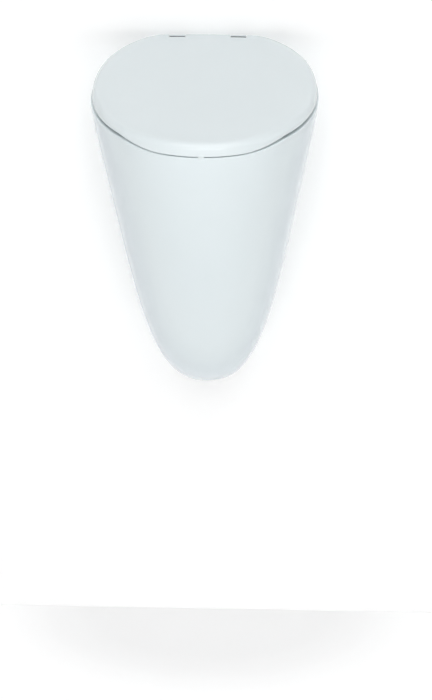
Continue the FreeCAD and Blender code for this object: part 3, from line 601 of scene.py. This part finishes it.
# %% Sizes of the lid
LID_HALF = WIDTH / 2 - 3 * MM
LID_REACH = DEPTH - 0.6 * MM
LID_WALL_SHARE = 0.4
LID_BACK = 6.5 * MM
LID_CORNER_R = 60 * MM
LID_TOP_BACK = DECK_LEVEL + 19.68 * MM
LID_REAR_LEVEL = DECK_LEVEL + 4.8 * MM
LID_CROWN_R = 4000 * MM
LID_EDGE_R = 8 * MM
LID_TOP_WALL = 4.5 * MM
LID_SKIRT = 5 * MM
SEAM_SIDE = 4.5 * MM
SEAM_FRONT = 2.3 * MM
LID_LOWER_ROUND = 0.8 * MM
LID_BAR_REACH = 28 * MM
REAR_BLEND = 4 * MM


def crown_centre():
    """Middle of the large ball whose skin is the lid's top."""
    half_chord = (DEPTH - LID_BACK) / 2 / math.cos(TILT)
    sag = half_chord * half_chord / (2 * LID_CROWN_R)
    along = Vector((0, -math.cos(TILT), -math.sin(TILT)))
    normal = Vector((0, -math.sin(TILT), math.cos(TILT)))
    apex = Vector((0, -LID_BACK, LID_TOP_BACK)) + along * half_chord + normal * sag
    return apex - normal * LID_CROWN_R


CROWN_CENTRE = crown_centre()


def crown_height(x, y, drop=0.0):
    """Height of the lid's top, or of a face that lies a drop inside it."""
    c = CROWN_CENTRE
    flat = (x - c.x) ** 2 + (y - c.y) ** 2
    return c.z + math.sqrt((LID_CROWN_R - drop) ** 2 - flat)


def lid_edge(out):
    """Height of the lid's lower edge at a distance out from the wall."""
    front = min(max((out - STEP_BACK) / (STEP_FRONT - STEP_BACK), 0.0), 1.0)
    gap = SEAM_SIDE + (SEAM_FRONT - SEAM_SIDE) * front
    height = rim_height(out) + gap
    over = height - LID_REAR_LEVEL
    return LID_REAR_LEVEL - eased(-over) if over > -REAR_BLEND else height


print("lid top at the front", round(crown_height(0, -LID_REACH) / MM, 1), "mm")

# %% Plan of the lid
ARC_COLUMNS = 16
LID_BACK_COLUMNS = 30
TOUCH_SAMPLES = 1500
TOUCH_ROUNDS = 50
PLAN_SAMPLES = 2000


def lid_curve(q):
    """A point of the lid's outline at depth share q."""
    return Vector((LID_HALF * plan_share(q, LID_WALL_SHARE), -q * LID_REACH))


def lid_plan():
    """The lid's outline, right side first, with round back corners.

    The middle of a corner's arc is moved in or out until the arc just touches the side.
    """
    samples = [0.5 * i / TOUCH_SAMPLES for i in range(TOUCH_SAMPLES + 1)]
    near, far = 0.0, LID_HALF
    for _ in range(TOUCH_ROUNDS):
        centre = Vector(((near + far) / 2, -LID_BACK - LID_CORNER_R))
        q_touch = min(samples, key=lambda q: (lid_curve(q) - centre).length)
        if (lid_curve(q_touch) - centre).length > LID_CORNER_R:
            near = centre.x
        else:
            far = centre.x
    touch = lid_curve(q_touch)
    end = math.atan2(touch.y - centre.y, touch.x - centre.x)
    right = []
    for i in range(ARC_COLUMNS):
        a = math.pi / 2 + (end - math.pi / 2) * i / ARC_COLUMNS
        right.append(centre + Vector((math.cos(a), math.sin(a))) * LID_CORNER_R)
    dense = [q_touch + (1 - q_touch) * 0.5 * (1 - math.cos(math.pi * i / PLAN_SAMPLES))
             for i in range(PLAN_SAMPLES + 1)]
    spaced = evenly_spaced(dense, lambda a, b: (lid_curve(b) - lid_curve(a)).length,
                           FRONT_COLUMNS // 2)
    right += [lid_curve(q) for q in spaced]
    return closed_outline(right, LID_BACK_COLUMNS)


LID_PLAN = lid_plan()
LID_MIDDLE = Vector((0, -(LID_BACK + LID_REACH) / 2))


def inward(i):
    """Direction into the lid, level, at one point of its plan."""
    run = LID_PLAN[(i + 1) % len(LID_PLAN)] - LID_PLAN[i - 1]
    side = Vector((run.y, -run.x)).normalized()
    return side if side.dot(LID_MIDDLE - LID_PLAN[i]) > 0 else -side


LID_INWARD = [inward(i) for i in range(len(LID_PLAN))]


def lid_ring(inset, height, share=0.0):
    """The outline moved in by inset, and drawn together by share of the way to the middle."""
    points = []
    for p, n in zip(LID_PLAN, LID_INWARD):
        spot = (p + n * inset).lerp(LID_MIDDLE, share)
        points.append(Vector((spot.x, spot.y, height(spot.x, spot.y))))
    return points


print("points round the lid", len(LID_PLAN))

# %% Skin of the lid
HOLLOW_EDGE = 2.5 * MM
# Rings of the two faces of the lid, as shares of the way in to its middle.
TOP_SHARES = (0.985, 0.93, 0.84, 0.74, 0.64, 0.54, 0.44, 0.34, 0.25, 0.17, 0.1, 0.05, 0.02)
HOLLOW_SHARES = (0.1, 0.3, 0.55, 0.8, 0.95)
SKIRT_SHARES = (0.35, 0.7, 1.0)


def lid_roof(x, y):
    """Height of the hollow under the lid's top."""
    return crown_height(x, y, LID_TOP_WALL)


def lid_skin():
    """From the middle of the top out, down the skirt, round its edge and back inside."""
    rings = [lid_ring(LID_EDGE_R, crown_height, share) for share in TOP_SHARES]
    rounds = 12
    for i in range(rounds + 1):
        a = math.pi / 2 * (1 - i / rounds)
        inset = LID_EDGE_R * (1 - math.cos(a))
        drop = LID_EDGE_R * (1 - math.sin(a))
        rings.append(lid_ring(inset, lambda x, y, d=drop: crown_height(x, y) - d))
    for share in SKIRT_SHARES:
        rings.append(lid_ring(0.0, lambda x, y, s=share: (crown_height(x, y) - LID_EDGE_R) *
                              (1 - s) + (lid_edge(-y) + LID_LOWER_ROUND) * s))
    for a in quarter_round(3):
        rings.append(lid_ring(LID_LOWER_ROUND * (1 - math.cos(a)),
                              lambda x, y, a=a: lid_edge(-y) + LID_LOWER_ROUND *
                              (1 - math.sin(a))))
    rings.append(lid_ring(LID_SKIRT / 2, lambda x, y: lid_edge(-y)))
    rings.append(lid_ring(LID_SKIRT - LID_LOWER_ROUND, lambda x, y: lid_edge(-y)))
    rings.append(lid_ring(LID_SKIRT, lambda x, y: lid_edge(-y) + LID_LOWER_ROUND))
    rings.append(lid_ring(LID_SKIRT, lambda x, y: lid_roof(x, y) - HOLLOW_EDGE))
    for a in quarter_round(4):
        rings.append(lid_ring(LID_SKIRT + HOLLOW_EDGE * (1 - math.cos(a)),
                              lambda x, y, a=a: lid_roof(x, y) - HOLLOW_EDGE *
                              (1 - math.sin(a))))
    rings += [lid_ring(LID_SKIRT + HOLLOW_EDGE, lid_roof, share) for share in HOLLOW_SHARES]
    return skin("lid_moulding", rings)


lid = lid_skin()
print("lid points", len(lid.data.vertices))

# %% [markdown]
# Under the back edge the moulding has a solid bar that takes the hinge bearings, and four bosses
# hold the soft buffers. They are joined to the shell first. Then the two notches for the hinge
# posts, the bearing bores, the pockets of the buffers and the seat of the front stop are cut.

# %% Bar, bosses, notches and bores
HINGE_Y = -13 * MM
HINGE_LEVEL = DECK_LEVEL + 12 * MM
KNUCKLE_HALF = 11.5 * MM
NOTCH_GAP = 1 * MM
NOTCH_REACH = 22 * MM
BUSH_R = 4 * MM
BUSH_LENGTH = 12 * MM
DAMPER_R = 4.8 * MM
DAMPER_LENGTH = 26 * MM
BUFFER_R = 5.5 * MM
BUFFER_BOSS_R = 8.5 * MM
BUFFER_POCKET = 5 * MM
BOSS_GAP = 3.2 * MM
BOSS_CLEAR = 0.1 * MM
BAR_CLEAR = 0.2 * MM
SINK = 2 * MM
BAR_HALF = HINGE_X + KNUCKLE_HALF + NOTCH_GAP + BUSH_LENGTH + LID_SKIRT


def shape_ends(piece, low_at, high_at):
    """Moves the lower and upper points of an upright piece to the heights of two surfaces."""
    middle = sum(v.co.z for v in piece.data.vertices) / len(piece.data.vertices)
    for v in piece.data.vertices:
        v.co.z = high_at(v.co.x, v.co.y) if v.co.z > middle else low_at(v.co.x, v.co.y)


def in_the_top(x, y):
    """A level inside the lid's top wall, where a joined piece ends unseen."""
    return crown_height(x, y) - SINK


def hinge_bar():
    """The solid bar under the lid's back edge."""
    bar = bar_block("hinge_bar", (-BAR_HALF, -LID_BAR_REACH, LID_REAR_LEVEL),
                    (BAR_HALF, -(LID_BACK + SINK), LID_TOP_BACK))
    shape_ends(bar, lambda x, y: LID_REAR_LEVEL + BAR_CLEAR, in_the_top)
    return bar


def buffer_places():
    """The middles of the four buffers, read from their node: two at the back, two in front."""
    part = nodes["lid_buffers"]
    points = [part.matrix_world @ v.co for v in part.data.vertices]
    middles = []
    for side in (-1, 1):
        for front in (False, True):
            mine = [p for p in points if p.x * side > 0 and (p.y < -DEPTH / 2) == front]
            middles.append(((min(p.x for p in mine) + max(p.x for p in mine)) / 2,
                            (min(p.y for p in mine) + max(p.y for p in mine)) / 2))
    return middles


BUFFERS = buffer_places()
print("buffers at", [(round(x / MM, 1), round(y / MM, 1)) for x, y in BUFFERS])

combine(lid, hinge_bar(), "UNION")
for x, y in BUFFERS:
    boss = round_bar("boss", BUFFER_BOSS_R, (x, y, 0), (x, y, LID_TOP_BACK), SMALL_HOLE_SIDES)
    shape_ends(boss, lambda x, y: rim_height(-y) + BOSS_GAP + BOSS_CLEAR, in_the_top)
    combine(lid, boss, "UNION")
for x, y in BUFFERS:
    pocket = round_bar("pocket", BUFFER_R, (x, y, 0), (x, y, LID_TOP_BACK), SMALL_HOLE_SIDES)
    shape_ends(pocket, lambda x, y: 0.0, lambda x, y: rim_height(-y) + BOSS_GAP + BUFFER_POCKET)
    combine(lid, pocket, "DIFFERENCE")
for side in (-1, 1):
    middle = side * HINGE_X
    half = KNUCKLE_HALF + NOTCH_GAP
    combine(lid, bar_block("notch", (middle - half, -NOTCH_REACH, 0), (middle + half, FAR, FAR)),
            "DIFFERENCE")
    for outward, radius, length in ((side, BUSH_R, BUSH_LENGTH), (-side, DAMPER_R, DAMPER_LENGTH)):
        start = middle + outward * (half - SINK)
        end = middle + outward * (half + length)
        combine(lid, round_bar("bearing", radius, (start, HINGE_Y, HINGE_LEVEL),
                               (end, HINGE_Y, HINGE_LEVEL), SMALL_HOLE_SIDES), "DIFFERENCE")
stop_low, stop_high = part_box("front_stop")
combine(lid, bar_block("stop_seat", (stop_low[0], stop_low[1], 0), stop_high), "DIFFERENCE")
smooth_faces(lid)
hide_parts("lid_shell")
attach(lid, "lid")

# %% [markdown]
# The two hinge posts fill the notches of the lid. Each has a core, and over it a thin white cover
# that carries on the lid's top face and its round back edge. The core is dark grey as painted
# shade, so that only a dark slot of painted shade in front of it breaks the lid's surface. The
# cover is a bar with the lid's own side profile: a filled outline, extruded once across the
# hinge, with its long edges bevelled.

# %% Hinge posts
BEVEL_FROM = math.radians(40)
COVER_FRONT = -17.6 * MM
COVER_BACK = -7.5 * MM
COVER_THICK = 0.7 * MM
COVER_SINK = 0.05 * MM
COVER_EDGE = 0.2 * MM
COVER_INSIDE = COVER_BACK - COVER_THICK
CORE_FRONT = -16.4 * MM
CORE_TOP = HINGE_LEVEL + 5.6 * MM
CORE_SHOULDER = HINGE_LEVEL + 3.6 * MM
CORE_SINK = 0.15 * MM
CORE_EDGE = 0.3 * MM
# Where the core's top meets the under side of the cover, from front to back.
CORE_TOP_AT = (CORE_FRONT + 1.2 * MM, -13.5 * MM, -11.5 * MM, -9.6 * MM)
COVER_FOOT = CORE_TOP - 6 * MM
CORE_BACK_TOP = CORE_TOP - 4 * MM


def profile_bar(name, outline, half, middle, bevel):
    """A bar along X with a closed (y, z) outline."""
    select_only()
    bpy.ops.mesh.primitive_circle_add(vertices=len(outline), radius=10 * MM, fill_type="NGON")
    bar = bpy.context.object
    bar.name = name
    for v, (y, z) in zip(bar.data.vertices, outline):
        v.co = (middle - half, y, z)
    bpy.ops.object.mode_set(mode="EDIT")
    bpy.ops.mesh.select_all(action="SELECT")
    bpy.ops.mesh.extrude_region_move(TRANSFORM_OT_translate={"value": (2 * half, 0, 0)})
    bpy.ops.mesh.select_all(action="SELECT")
    bpy.ops.mesh.normals_make_consistent(inside=False)
    bpy.ops.object.mode_set(mode="OBJECT")
    round_off = bar.modifiers.new("edges", "BEVEL")
    round_off.width = bevel
    round_off.segments = 3
    round_off.angle_limit = BEVEL_FROM
    bpy.ops.object.modifier_apply(modifier=round_off.name)
    smooth_faces(bar)
    return bar


def lid_side_profile(y):
    """Height of the lid's top over the hinge, with the round of its back edge."""
    round_at = -LID_BACK - LID_EDGE_R
    if y < round_at:
        return crown_height(HINGE_X, y)
    foot = crown_height(HINGE_X, round_at) - LID_EDGE_R
    return foot + math.sqrt(LID_EDGE_R ** 2 - (y - round_at) ** 2)


def cover_outline():
    """The lid's side profile from front to back, down behind, and back under it."""
    count = 12
    ys = [COVER_FRONT + (COVER_BACK - COVER_FRONT) * i / count for i in range(count + 1)]
    top = [(y, lid_side_profile(y) - COVER_SINK) for y in ys]
    under = [(min(y, COVER_INSIDE), z - COVER_THICK) for y, z in reversed(top[:-1])]
    return top + [(COVER_BACK, COVER_FOOT), (COVER_INSIDE, COVER_FOOT)] + under


post_low, post_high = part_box("hinge_post_right")


def core_outline():
    """The post's foot and front from its node, and a top that follows the cover."""
    front = [(post_low[1], post_low[2]), (post_low[1], HINGE_LEVEL), (CORE_FRONT, CORE_SHOULDER)]
    top = [(y, lid_side_profile(y) - COVER_THICK - CORE_SINK) for y in CORE_TOP_AT]
    return front + top + [(COVER_INSIDE, CORE_BACK_TOP), (COVER_INSIDE, post_low[2])]


half_post = (post_high[0] - post_low[0]) / 2
hinge_covers, hinge_shade_cores = [], []
for side, word in ((-1, "left"), (1, "right")):
    # The core's dark grey is painted shade for the slot in front of it.
    core = profile_bar("hinge_shade_core_" + word, core_outline(), half_post, side * HINGE_X,
                       CORE_EDGE)
    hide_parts("hinge_post_" + word)
    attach(core, "urinal")
    cover = profile_bar("hinge_cover_" + word, cover_outline(), half_post, side * HINGE_X,
                        COVER_EDGE)
    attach(cover, "urinal")
    hinge_shade_cores.append(core)
    hinge_covers.append(cover)

# %% [markdown]
# Finishes. China glaze and a polished lid look alike in a picture but differ close up: the glaze
# has a faint ripple and a hint of depth, the lid is flatter and very slightly grained. The glaze
# also carries painted shade: its colour goes darker and bluer where the surface turns away from
# the eye. Effects that several finishes share are node groups that only work out colours and
# heights, and each finish has a shader of its own.

# %% Shared effects
def set_inputs(node, **values):
    """Sets a node's inputs by name, with _ for a space."""
    for socket, value in values.items():
        node.inputs[socket.replace("_", " ")].default_value = value


def group(name, inputs, outputs):
    """A node group with its named sockets, and a node that gives the place on the piece."""
    tree = bpy.data.node_groups.new(name, "ShaderNodeTree")
    for socket, kind, value in inputs:
        made = tree.interface.new_socket(socket, in_out="INPUT", socket_type=kind)
        made.default_value = value
    for socket, kind in outputs:
        tree.interface.new_socket(socket, in_out="OUTPUT", socket_type=kind)
    start = tree.nodes.new("NodeGroupInput")
    end = tree.nodes.new("NodeGroupOutput")
    place = tree.nodes.new("ShaderNodeTexCoord")
    return tree, start, end, place


def cloud_group():
    """A soft cloud of two near colours, as fired glaze and moulded plastic have."""
    tree, start, end, place = group(
        "soft_cloud",
        [("Light", "NodeSocketColor", (1, 1, 1, 1)), ("Deep", "NodeSocketColor", (0, 0, 0, 1)),
         ("Scale", "NodeSocketFloat", 12.0)],
        [("Color", "NodeSocketColor")])
    cloud = tree.nodes.new("ShaderNodeTexNoise")
    set_inputs(cloud, Detail=3.0)
    mix = tree.nodes.new("ShaderNodeMix")
    mix.data_type = "RGBA"
    links = tree.links
    links.new(place.outputs["Object"], cloud.inputs["Vector"])
    links.new(start.outputs["Scale"], cloud.inputs["Scale"])
    links.new(cloud.outputs["Fac"], mix.inputs["Factor"])
    links.new(start.outputs["Light"], mix.inputs["A"])
    links.new(start.outputs["Deep"], mix.inputs["B"])
    links.new(mix.outputs["Result"], end.inputs["Color"])
    return tree


def grain_group():
    """The fine height of a surface and the way it scatters light: ripple plus fine grain."""
    tree, start, end, place = group(
        "fine_grain",
        [("Ripple", "NodeSocketFloat", 30.0), ("Grain", "NodeSocketFloat", 900.0),
         ("Grain share", "NodeSocketFloat", 0.3), ("Smooth", "NodeSocketFloat", 0.1),
         ("Rough", "NodeSocketFloat", 0.2)],
        [("Height", "NodeSocketFloat"), ("Roughness", "NodeSocketFloat")])
    ripple = tree.nodes.new("ShaderNodeTexNoise")
    grain = tree.nodes.new("ShaderNodeTexNoise")
    mix = tree.nodes.new("ShaderNodeMix")
    spread = tree.nodes.new("ShaderNodeMapRange")
    links = tree.links
    for noise, socket in ((ripple, "Ripple"), (grain, "Grain")):
        links.new(place.outputs["Object"], noise.inputs["Vector"])
        links.new(start.outputs[socket], noise.inputs["Scale"])
    links.new(start.outputs["Grain share"], mix.inputs["Factor"])
    links.new(ripple.outputs["Fac"], mix.inputs["A"])
    links.new(grain.outputs["Fac"], mix.inputs["B"])
    links.new(mix.outputs["Result"], end.inputs["Height"])
    links.new(ripple.outputs["Fac"], spread.inputs["Value"])
    links.new(start.outputs["Smooth"], spread.inputs["To Min"])
    links.new(start.outputs["Rough"], spread.inputs["To Max"])
    links.new(spread.outputs["Result"], end.inputs["Roughness"])
    return tree


CLOUD = cloud_group()
GRAIN = grain_group()
print("shared effects", CLOUD.name, GRAIN.name)

# %% One function for a finish
# Painted shade on the sides: how far a surface is turned from the eye where it starts and where it
# is full, from 0, facing it, to 1, edge on.
SIDE_SHADE_FROM = 0.45
SIDE_SHADE_TO = 0.80


def finish(name, light, deep, cloud=12.0, ripple=30.0, grain=900.0, grain_share=0.3,
           smooth=0.1, rough=0.2, height=0.0001, turned=None, **fixed):
    """A material whose colour, roughness and fine height vary over the surface.

    With turned, the colour goes over to that darker one where the surface turns away from the eye:
    painted shade on the sides.
    """
    material = bpy.data.materials.new(name)
    material.use_nodes = True
    tree = material.node_tree
    shader = tree.nodes["Principled BSDF"]
    colour = tree.nodes.new("ShaderNodeGroup")
    colour.node_tree = CLOUD
    set_inputs(colour, Light=(*light, 1), Deep=(*deep, 1), Scale=cloud)
    surface = tree.nodes.new("ShaderNodeGroup")
    surface.node_tree = GRAIN
    set_inputs(surface, Ripple=ripple, Grain=grain, Grain_share=grain_share, Smooth=smooth,
               Rough=rough)
    bump = tree.nodes.new("ShaderNodeBump")
    set_inputs(bump, Distance=height)
    tree.links.new(colour.outputs["Color"], shader.inputs["Base Color"])
    tree.links.new(surface.outputs["Roughness"], shader.inputs["Roughness"])
    tree.links.new(surface.outputs["Height"], bump.inputs["Height"])
    tree.links.new(bump.outputs["Normal"], shader.inputs["Normal"])
    # Painted shade: the colour darkens where the surface turns away from the eye.
    if turned:
        facing = tree.nodes.new("ShaderNodeLayerWeight")
        share = tree.nodes.new("ShaderNodeMapRange")
        share.interpolation_type = "SMOOTHSTEP"
        set_inputs(share, From_Min=SIDE_SHADE_FROM, From_Max=SIDE_SHADE_TO)
        mix = tree.nodes.new("ShaderNodeMix")
        mix.data_type = "RGBA"
        set_inputs(mix, B=(*turned, 1))
        tree.links.new(facing.outputs["Facing"], share.inputs["Value"])
        tree.links.new(share.outputs["Result"], mix.inputs["Factor"])
        tree.links.new(colour.outputs["Color"], mix.inputs["A"])
        tree.links.new(mix.outputs["Result"], shader.inputs["Base Color"])
    set_inputs(shader, **fixed)
    return material


print("a turned surface changes colour from", SIDE_SHADE_FROM, "to", SIDE_SHADE_TO)

# %% The nine finishes
FINISHES = {
    # The china's turned colour is painted shade: darker and bluer where the glaze turns away from
    # the eye.
    "sanitary_ceramic": finish("china_glaze", (0.742, 0.812, 0.832), (0.722, 0.796, 0.818),
                               cloud=9, ripple=24, grain=500, grain_share=0.12, smooth=0.1,
                               rough=0.16, height=0.00006, turned=(0.60, 0.69, 0.74),
                               Coat_Weight=0.6, Coat_Roughness=0.04, IOR=1.5),
    "lid_plastic": finish("lid_gloss", (0.752, 0.816, 0.834), (0.736, 0.804, 0.824), cloud=14,
                          ripple=60, grain=1400, grain_share=0.35, smooth=0.16, rough=0.22,
                          height=0.00004, Coat_Weight=0.15, Coat_Roughness=0.1, IOR=1.45),
    "white_plastic": finish("white_moulding", (0.72, 0.75, 0.76), (0.67, 0.70, 0.71), cloud=40,
                            grain=1600, grain_share=0.6, smooth=0.3, rough=0.42,
                            height=0.00005),
    "grey_plastic": finish("grey_moulding", (0.20, 0.21, 0.22), (0.15, 0.16, 0.17), cloud=60,
                           grain=1800, grain_share=0.7, smooth=0.34, rough=0.5,
                           height=0.00006),
    "trap_plastic": finish("trap_moulding", (0.66, 0.67, 0.65), (0.60, 0.61, 0.59), cloud=22,
                           grain=1200, grain_share=0.55, smooth=0.36, rough=0.52,
                           height=0.00008),
    "steel": finish("turned_steel", (0.60, 0.60, 0.61), (0.48, 0.48, 0.50), cloud=120,
                    ripple=260, grain=2400, grain_share=0.7, smooth=0.2, rough=0.4,
                    height=0.00003, Metallic=1.0),
    "chrome": finish("bright_plating", (0.80, 0.81, 0.83), (0.72, 0.73, 0.75), cloud=50,
                     ripple=80, grain=1500, grain_share=0.3, smooth=0.05, rough=0.14,
                     height=0.00002, Metallic=1.0),
    "seal_rubber": finish("black_seal", (0.035, 0.035, 0.037), (0.02, 0.02, 0.022), cloud=80,
                          grain=1500, grain_share=0.7, smooth=0.55, rough=0.75,
                          height=0.0001),
    "clear_rubber": finish("pale_buffer", (0.82, 0.87, 0.88), (0.77, 0.83, 0.85), cloud=80,
                           grain=1400, grain_share=0.5, smooth=0.3, rough=0.45,
                           height=0.00005, Transmission_Weight=0.08, IOR=1.45),
}
print("finishes", sorted(FINISHES))

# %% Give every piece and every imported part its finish
slot_of = {row["node"]: row["material_slot"] for row in frame["record"]["subparts"]}
REPLACED = ("ceramic_body", "lid_shell", "hinge_post_left", "hinge_post_right")


def dress(piece, slot):
    """Gives a piece one finish and no other."""
    piece.data.materials.clear()
    piece.data.materials.append(FINISHES[slot])


for name, part in nodes.items():
    if name not in REPLACED:
        dress(part, slot_of[name])
dress(china, "sanitary_ceramic")
dress(lid, "lid_plastic")
# The hinge cores take the dark grey finish as painted shade for the slot in front of them.
for core, cover in zip(hinge_shade_cores, hinge_covers):
    dress(core, "grey_plastic")
    dress(cover, "lid_plastic")
print("packed parts finished:", len(nodes) - len(REPLACED))

# %% [markdown]
# The stage is a white wall that the object hangs on, and a pale floor one metre below. Both are
# plain white. The wall keeps the soft shadow round the body. It is clear when it is seen from
# behind, and it stops no lamp, so the back of the object can be looked at as well. Round a soft
# pool of shade below the object the floor goes over to white, as it does in the picture.

# %% Wall
FLOOR_LEVEL = -1.0
WALL_BEHIND = 0.6 * MM
STAGE_WIDTH = 9.0
WALL_HEIGHT = 5.0
WALL_WHITE = 0.93
WALL_LIFT = 0.12


def either(tree, first, second):
    """An output that is 1 where one of two outputs is 1."""
    node = tree.nodes.new("ShaderNodeMath")
    node.operation = "MAXIMUM"
    tree.links.new(first, node.inputs[0])
    tree.links.new(second, node.inputs[1])
    return node.outputs[0]


def stage_white(name, white, lift, see_through):
    """White with a lift for the camera and for mirrors, which never lights the object."""
    material = bpy.data.materials.new(name)
    material.use_nodes = True
    tree = material.node_tree
    tree.nodes.clear()
    end = tree.nodes.new("ShaderNodeOutputMaterial")
    diffuse = tree.nodes.new("ShaderNodeBsdfDiffuse")
    set_inputs(diffuse, Color=(white, white, white, 1))
    glow = tree.nodes.new("ShaderNodeEmission")
    path = tree.nodes.new("ShaderNodeLightPath")
    seen = either(tree, path.outputs["Is Camera Ray"], path.outputs["Is Glossy Ray"])
    strength = tree.nodes.new("ShaderNodeMath")
    strength.operation = "MULTIPLY"
    strength.inputs[1].default_value = lift
    both = tree.nodes.new("ShaderNodeAddShader")
    links = tree.links
    links.new(seen, strength.inputs[0])
    links.new(strength.outputs[0], glow.inputs["Strength"])
    links.new(diffuse.outputs[0], both.inputs[0])
    links.new(glow.outputs[0], both.inputs[1])
    if not see_through:
        links.new(both.outputs[0], end.inputs["Surface"])
        return material
    clear = tree.nodes.new("ShaderNodeBsdfTransparent")
    side = tree.nodes.new("ShaderNodeNewGeometry")
    open_way = either(tree, side.outputs["Backfacing"], path.outputs["Is Shadow Ray"])
    choice = tree.nodes.new("ShaderNodeMixShader")
    links.new(open_way, choice.inputs[0])
    links.new(both.outputs[0], choice.inputs[1])
    links.new(clear.outputs[0], choice.inputs[2])
    links.new(choice.outputs[0], end.inputs["Surface"])
    return material


def stage_plane(name, size, location, rotation, material):
    """A flat part of the stage, which isn't part of the object."""
    select_only()
    bpy.ops.mesh.primitive_plane_add(size=1, location=location, rotation=rotation)
    plane = bpy.context.object
    plane.name = name
    plane.scale = (size[0], size[1], 1)
    bpy.ops.object.transform_apply(location=True, rotation=True, scale=True)
    plane.data.materials.append(material)
    return plane


stage_plane("studio_wall", (STAGE_WIDTH, WALL_HEIGHT),
            (0, WALL_BEHIND, FLOOR_LEVEL + WALL_HEIGHT / 2), (math.pi / 2, 0, 0),
            stage_white("wall_white", WALL_WHITE, WALL_LIFT, True))
print("wall", STAGE_WIDTH, "by", WALL_HEIGHT, "m")

# %% Floor with its pool of shade
FLOOR_DEPTH = 7.0
FLOOR_WHITE = 0.88
FLOOR_LIFT = 0.045
# The pool of shade: half its width and depth, where its edge is, and the floor's lift past it.
POOL = (0.40, 0.25)
POOL_FROM = 0.5
POOL_TO = 1.1
POOL_LIFT = 0.15


def shade_pool(material):
    """Lifts the floor softly to white outside a pool of shade below the object."""
    tree = material.node_tree
    place = tree.nodes.new("ShaderNodeTexCoord")
    spot = place.outputs["Object"]
    for operation, by in (("MULTIPLY", (1, 1, 0)), ("DIVIDE", (*POOL, 1))):
        step = tree.nodes.new("ShaderNodeVectorMath")
        step.operation = operation
        step.inputs[1].default_value = by
        tree.links.new(spot, step.inputs[0])
        spot = step.outputs["Vector"]
    reach = tree.nodes.new("ShaderNodeVectorMath")
    reach.operation = "LENGTH"
    rise = tree.nodes.new("ShaderNodeMapRange")
    rise.interpolation_type = "SMOOTHSTEP"
    set_inputs(rise, From_Min=POOL_FROM, From_Max=POOL_TO, To_Min=FLOOR_LIFT,
               To_Max=FLOOR_LIFT + POOL_LIFT)
    lift = next(n for n in tree.nodes if n.type == "MATH" and n.operation == "MULTIPLY")
    tree.links.new(spot, reach.inputs[0])
    tree.links.new(reach.outputs["Value"], rise.inputs["Value"])
    tree.links.new(rise.outputs["Result"], lift.inputs[1])
    return material


stage_plane("studio_floor", (STAGE_WIDTH, FLOOR_DEPTH), (0, -FLOOR_DEPTH / 2, FLOOR_LEVEL),
            (0, 0, 0), shade_pool(stage_white("floor_white", FLOOR_WHITE, FLOOR_LIFT, False)))
print("stage ready, floor at", FLOOR_LEVEL, "m")

# %% [markdown]
# The light is soft and comes from all round. A large lamp above the camera lights the front, a
# low wide one keeps the foot from going grey, and one behind the wall gives the sides their
# bright edge. A glazed form shows its shape by how its sides turn away from the front, darker
# still by the glaze's painted side shade, and by the bright line where they mirror the white room
# at a grazing angle, so no small lamp is needed.

# %% Lamps and world
def lamp(name, location, aim, size, power):
    """An area lamp that faces a point and isn't seen by the camera."""
    data = bpy.data.lights.new(name, "AREA")
    data.shape = "RECTANGLE"
    data.size, data.size_y = size
    data.energy = power
    made = bpy.data.objects.new(name, data)
    made.location = location
    direction = Vector(aim) - Vector(location)
    made.rotation_euler = direction.to_track_quat("-Z", "Y").to_euler()
    made.visible_camera = False
    bpy.context.collection.objects.link(made)
    return made


# Each lamp: its name, its place, the point it faces, its width and height, and its power.
LAMPS = (("front_top", (0.08, -2.6, 2.4), (0, -0.15, -0.2), (3.0, 3.0), 63),
         ("front_low", (0.08, -2.8, -0.34), (0, -0.15, -0.3), (2.0, 0.44), 18.5),
         ("behind", (0, 2.6, -0.25), (0, -0.1, -0.25), (2.4, 1.0), 24))
for row in LAMPS:
    lamp(*row)

ROOM_LEVEL = 0.334
world = bpy.data.worlds.new("white_room")
bpy.context.scene.world = world
world.use_nodes = True
tree = world.node_tree
air = tree.nodes["Background"]
set_inputs(air, Color=(1, 1, 1, 1))
path = tree.nodes.new("ShaderNodeLightPath")
seen = either(tree, path.outputs["Is Camera Ray"], path.outputs["Is Glossy Ray"])
clear_path = either(tree, seen, path.outputs["Is Transmission Ray"])
level = tree.nodes.new("ShaderNodeMapRange")
set_inputs(level, To_Min=ROOM_LEVEL, To_Max=1.0)
tree.links.new(clear_path, level.inputs["Value"])
tree.links.new(level.outputs["Result"], air.inputs["Strength"])
print("lamps", len(LAMPS), "room level", ROOM_LEVEL)

# %% [markdown]
# The camera stands almost straight in front and looks down at about 29 degrees. Its lens and
# place were solved from the outline of the body and the seam of the lid, and the small shift
# only puts the object where it hangs in the picture, a little left of the middle.

# %% Camera
PICTURE_HEIGHT = 700.0
PICTURE_WIDTH = 432.0
FOCAL_PIXELS = 1494.28
AXIS_PIXEL_X = 208.253
SENSOR = 36.0
CAMERA_TURN = math.radians(1.635)
CAMERA_RISE = math.radians(28.624)
CAMERA_DISTANCE = 2.5
CAMERA_AIM = Vector((0, 0, -0.456))

back_way = Vector((math.sin(CAMERA_TURN) * math.cos(CAMERA_RISE),
                   -math.cos(CAMERA_TURN) * math.cos(CAMERA_RISE), math.sin(CAMERA_RISE)))
lens = bpy.data.cameras.new("camera")
lens.sensor_fit = "VERTICAL"
lens.sensor_height = SENSOR
lens.lens = SENSOR * FOCAL_PIXELS / PICTURE_HEIGHT
lens.shift_x = (PICTURE_WIDTH / 2 - AXIS_PIXEL_X) / PICTURE_HEIGHT
camera = bpy.data.objects.new("camera", lens)
camera.location = CAMERA_AIM + back_way * CAMERA_DISTANCE
camera.rotation_euler = (-back_way).to_track_quat("-Z", "Y").to_euler()
bpy.context.collection.objects.link(camera)
bpy.context.scene.camera = camera
bpy.context.scene.view_settings.view_transform = "Standard"
print("camera at", [round(v, 3) for v in camera.location], "lens", round(lens.lens, 2), "mm")
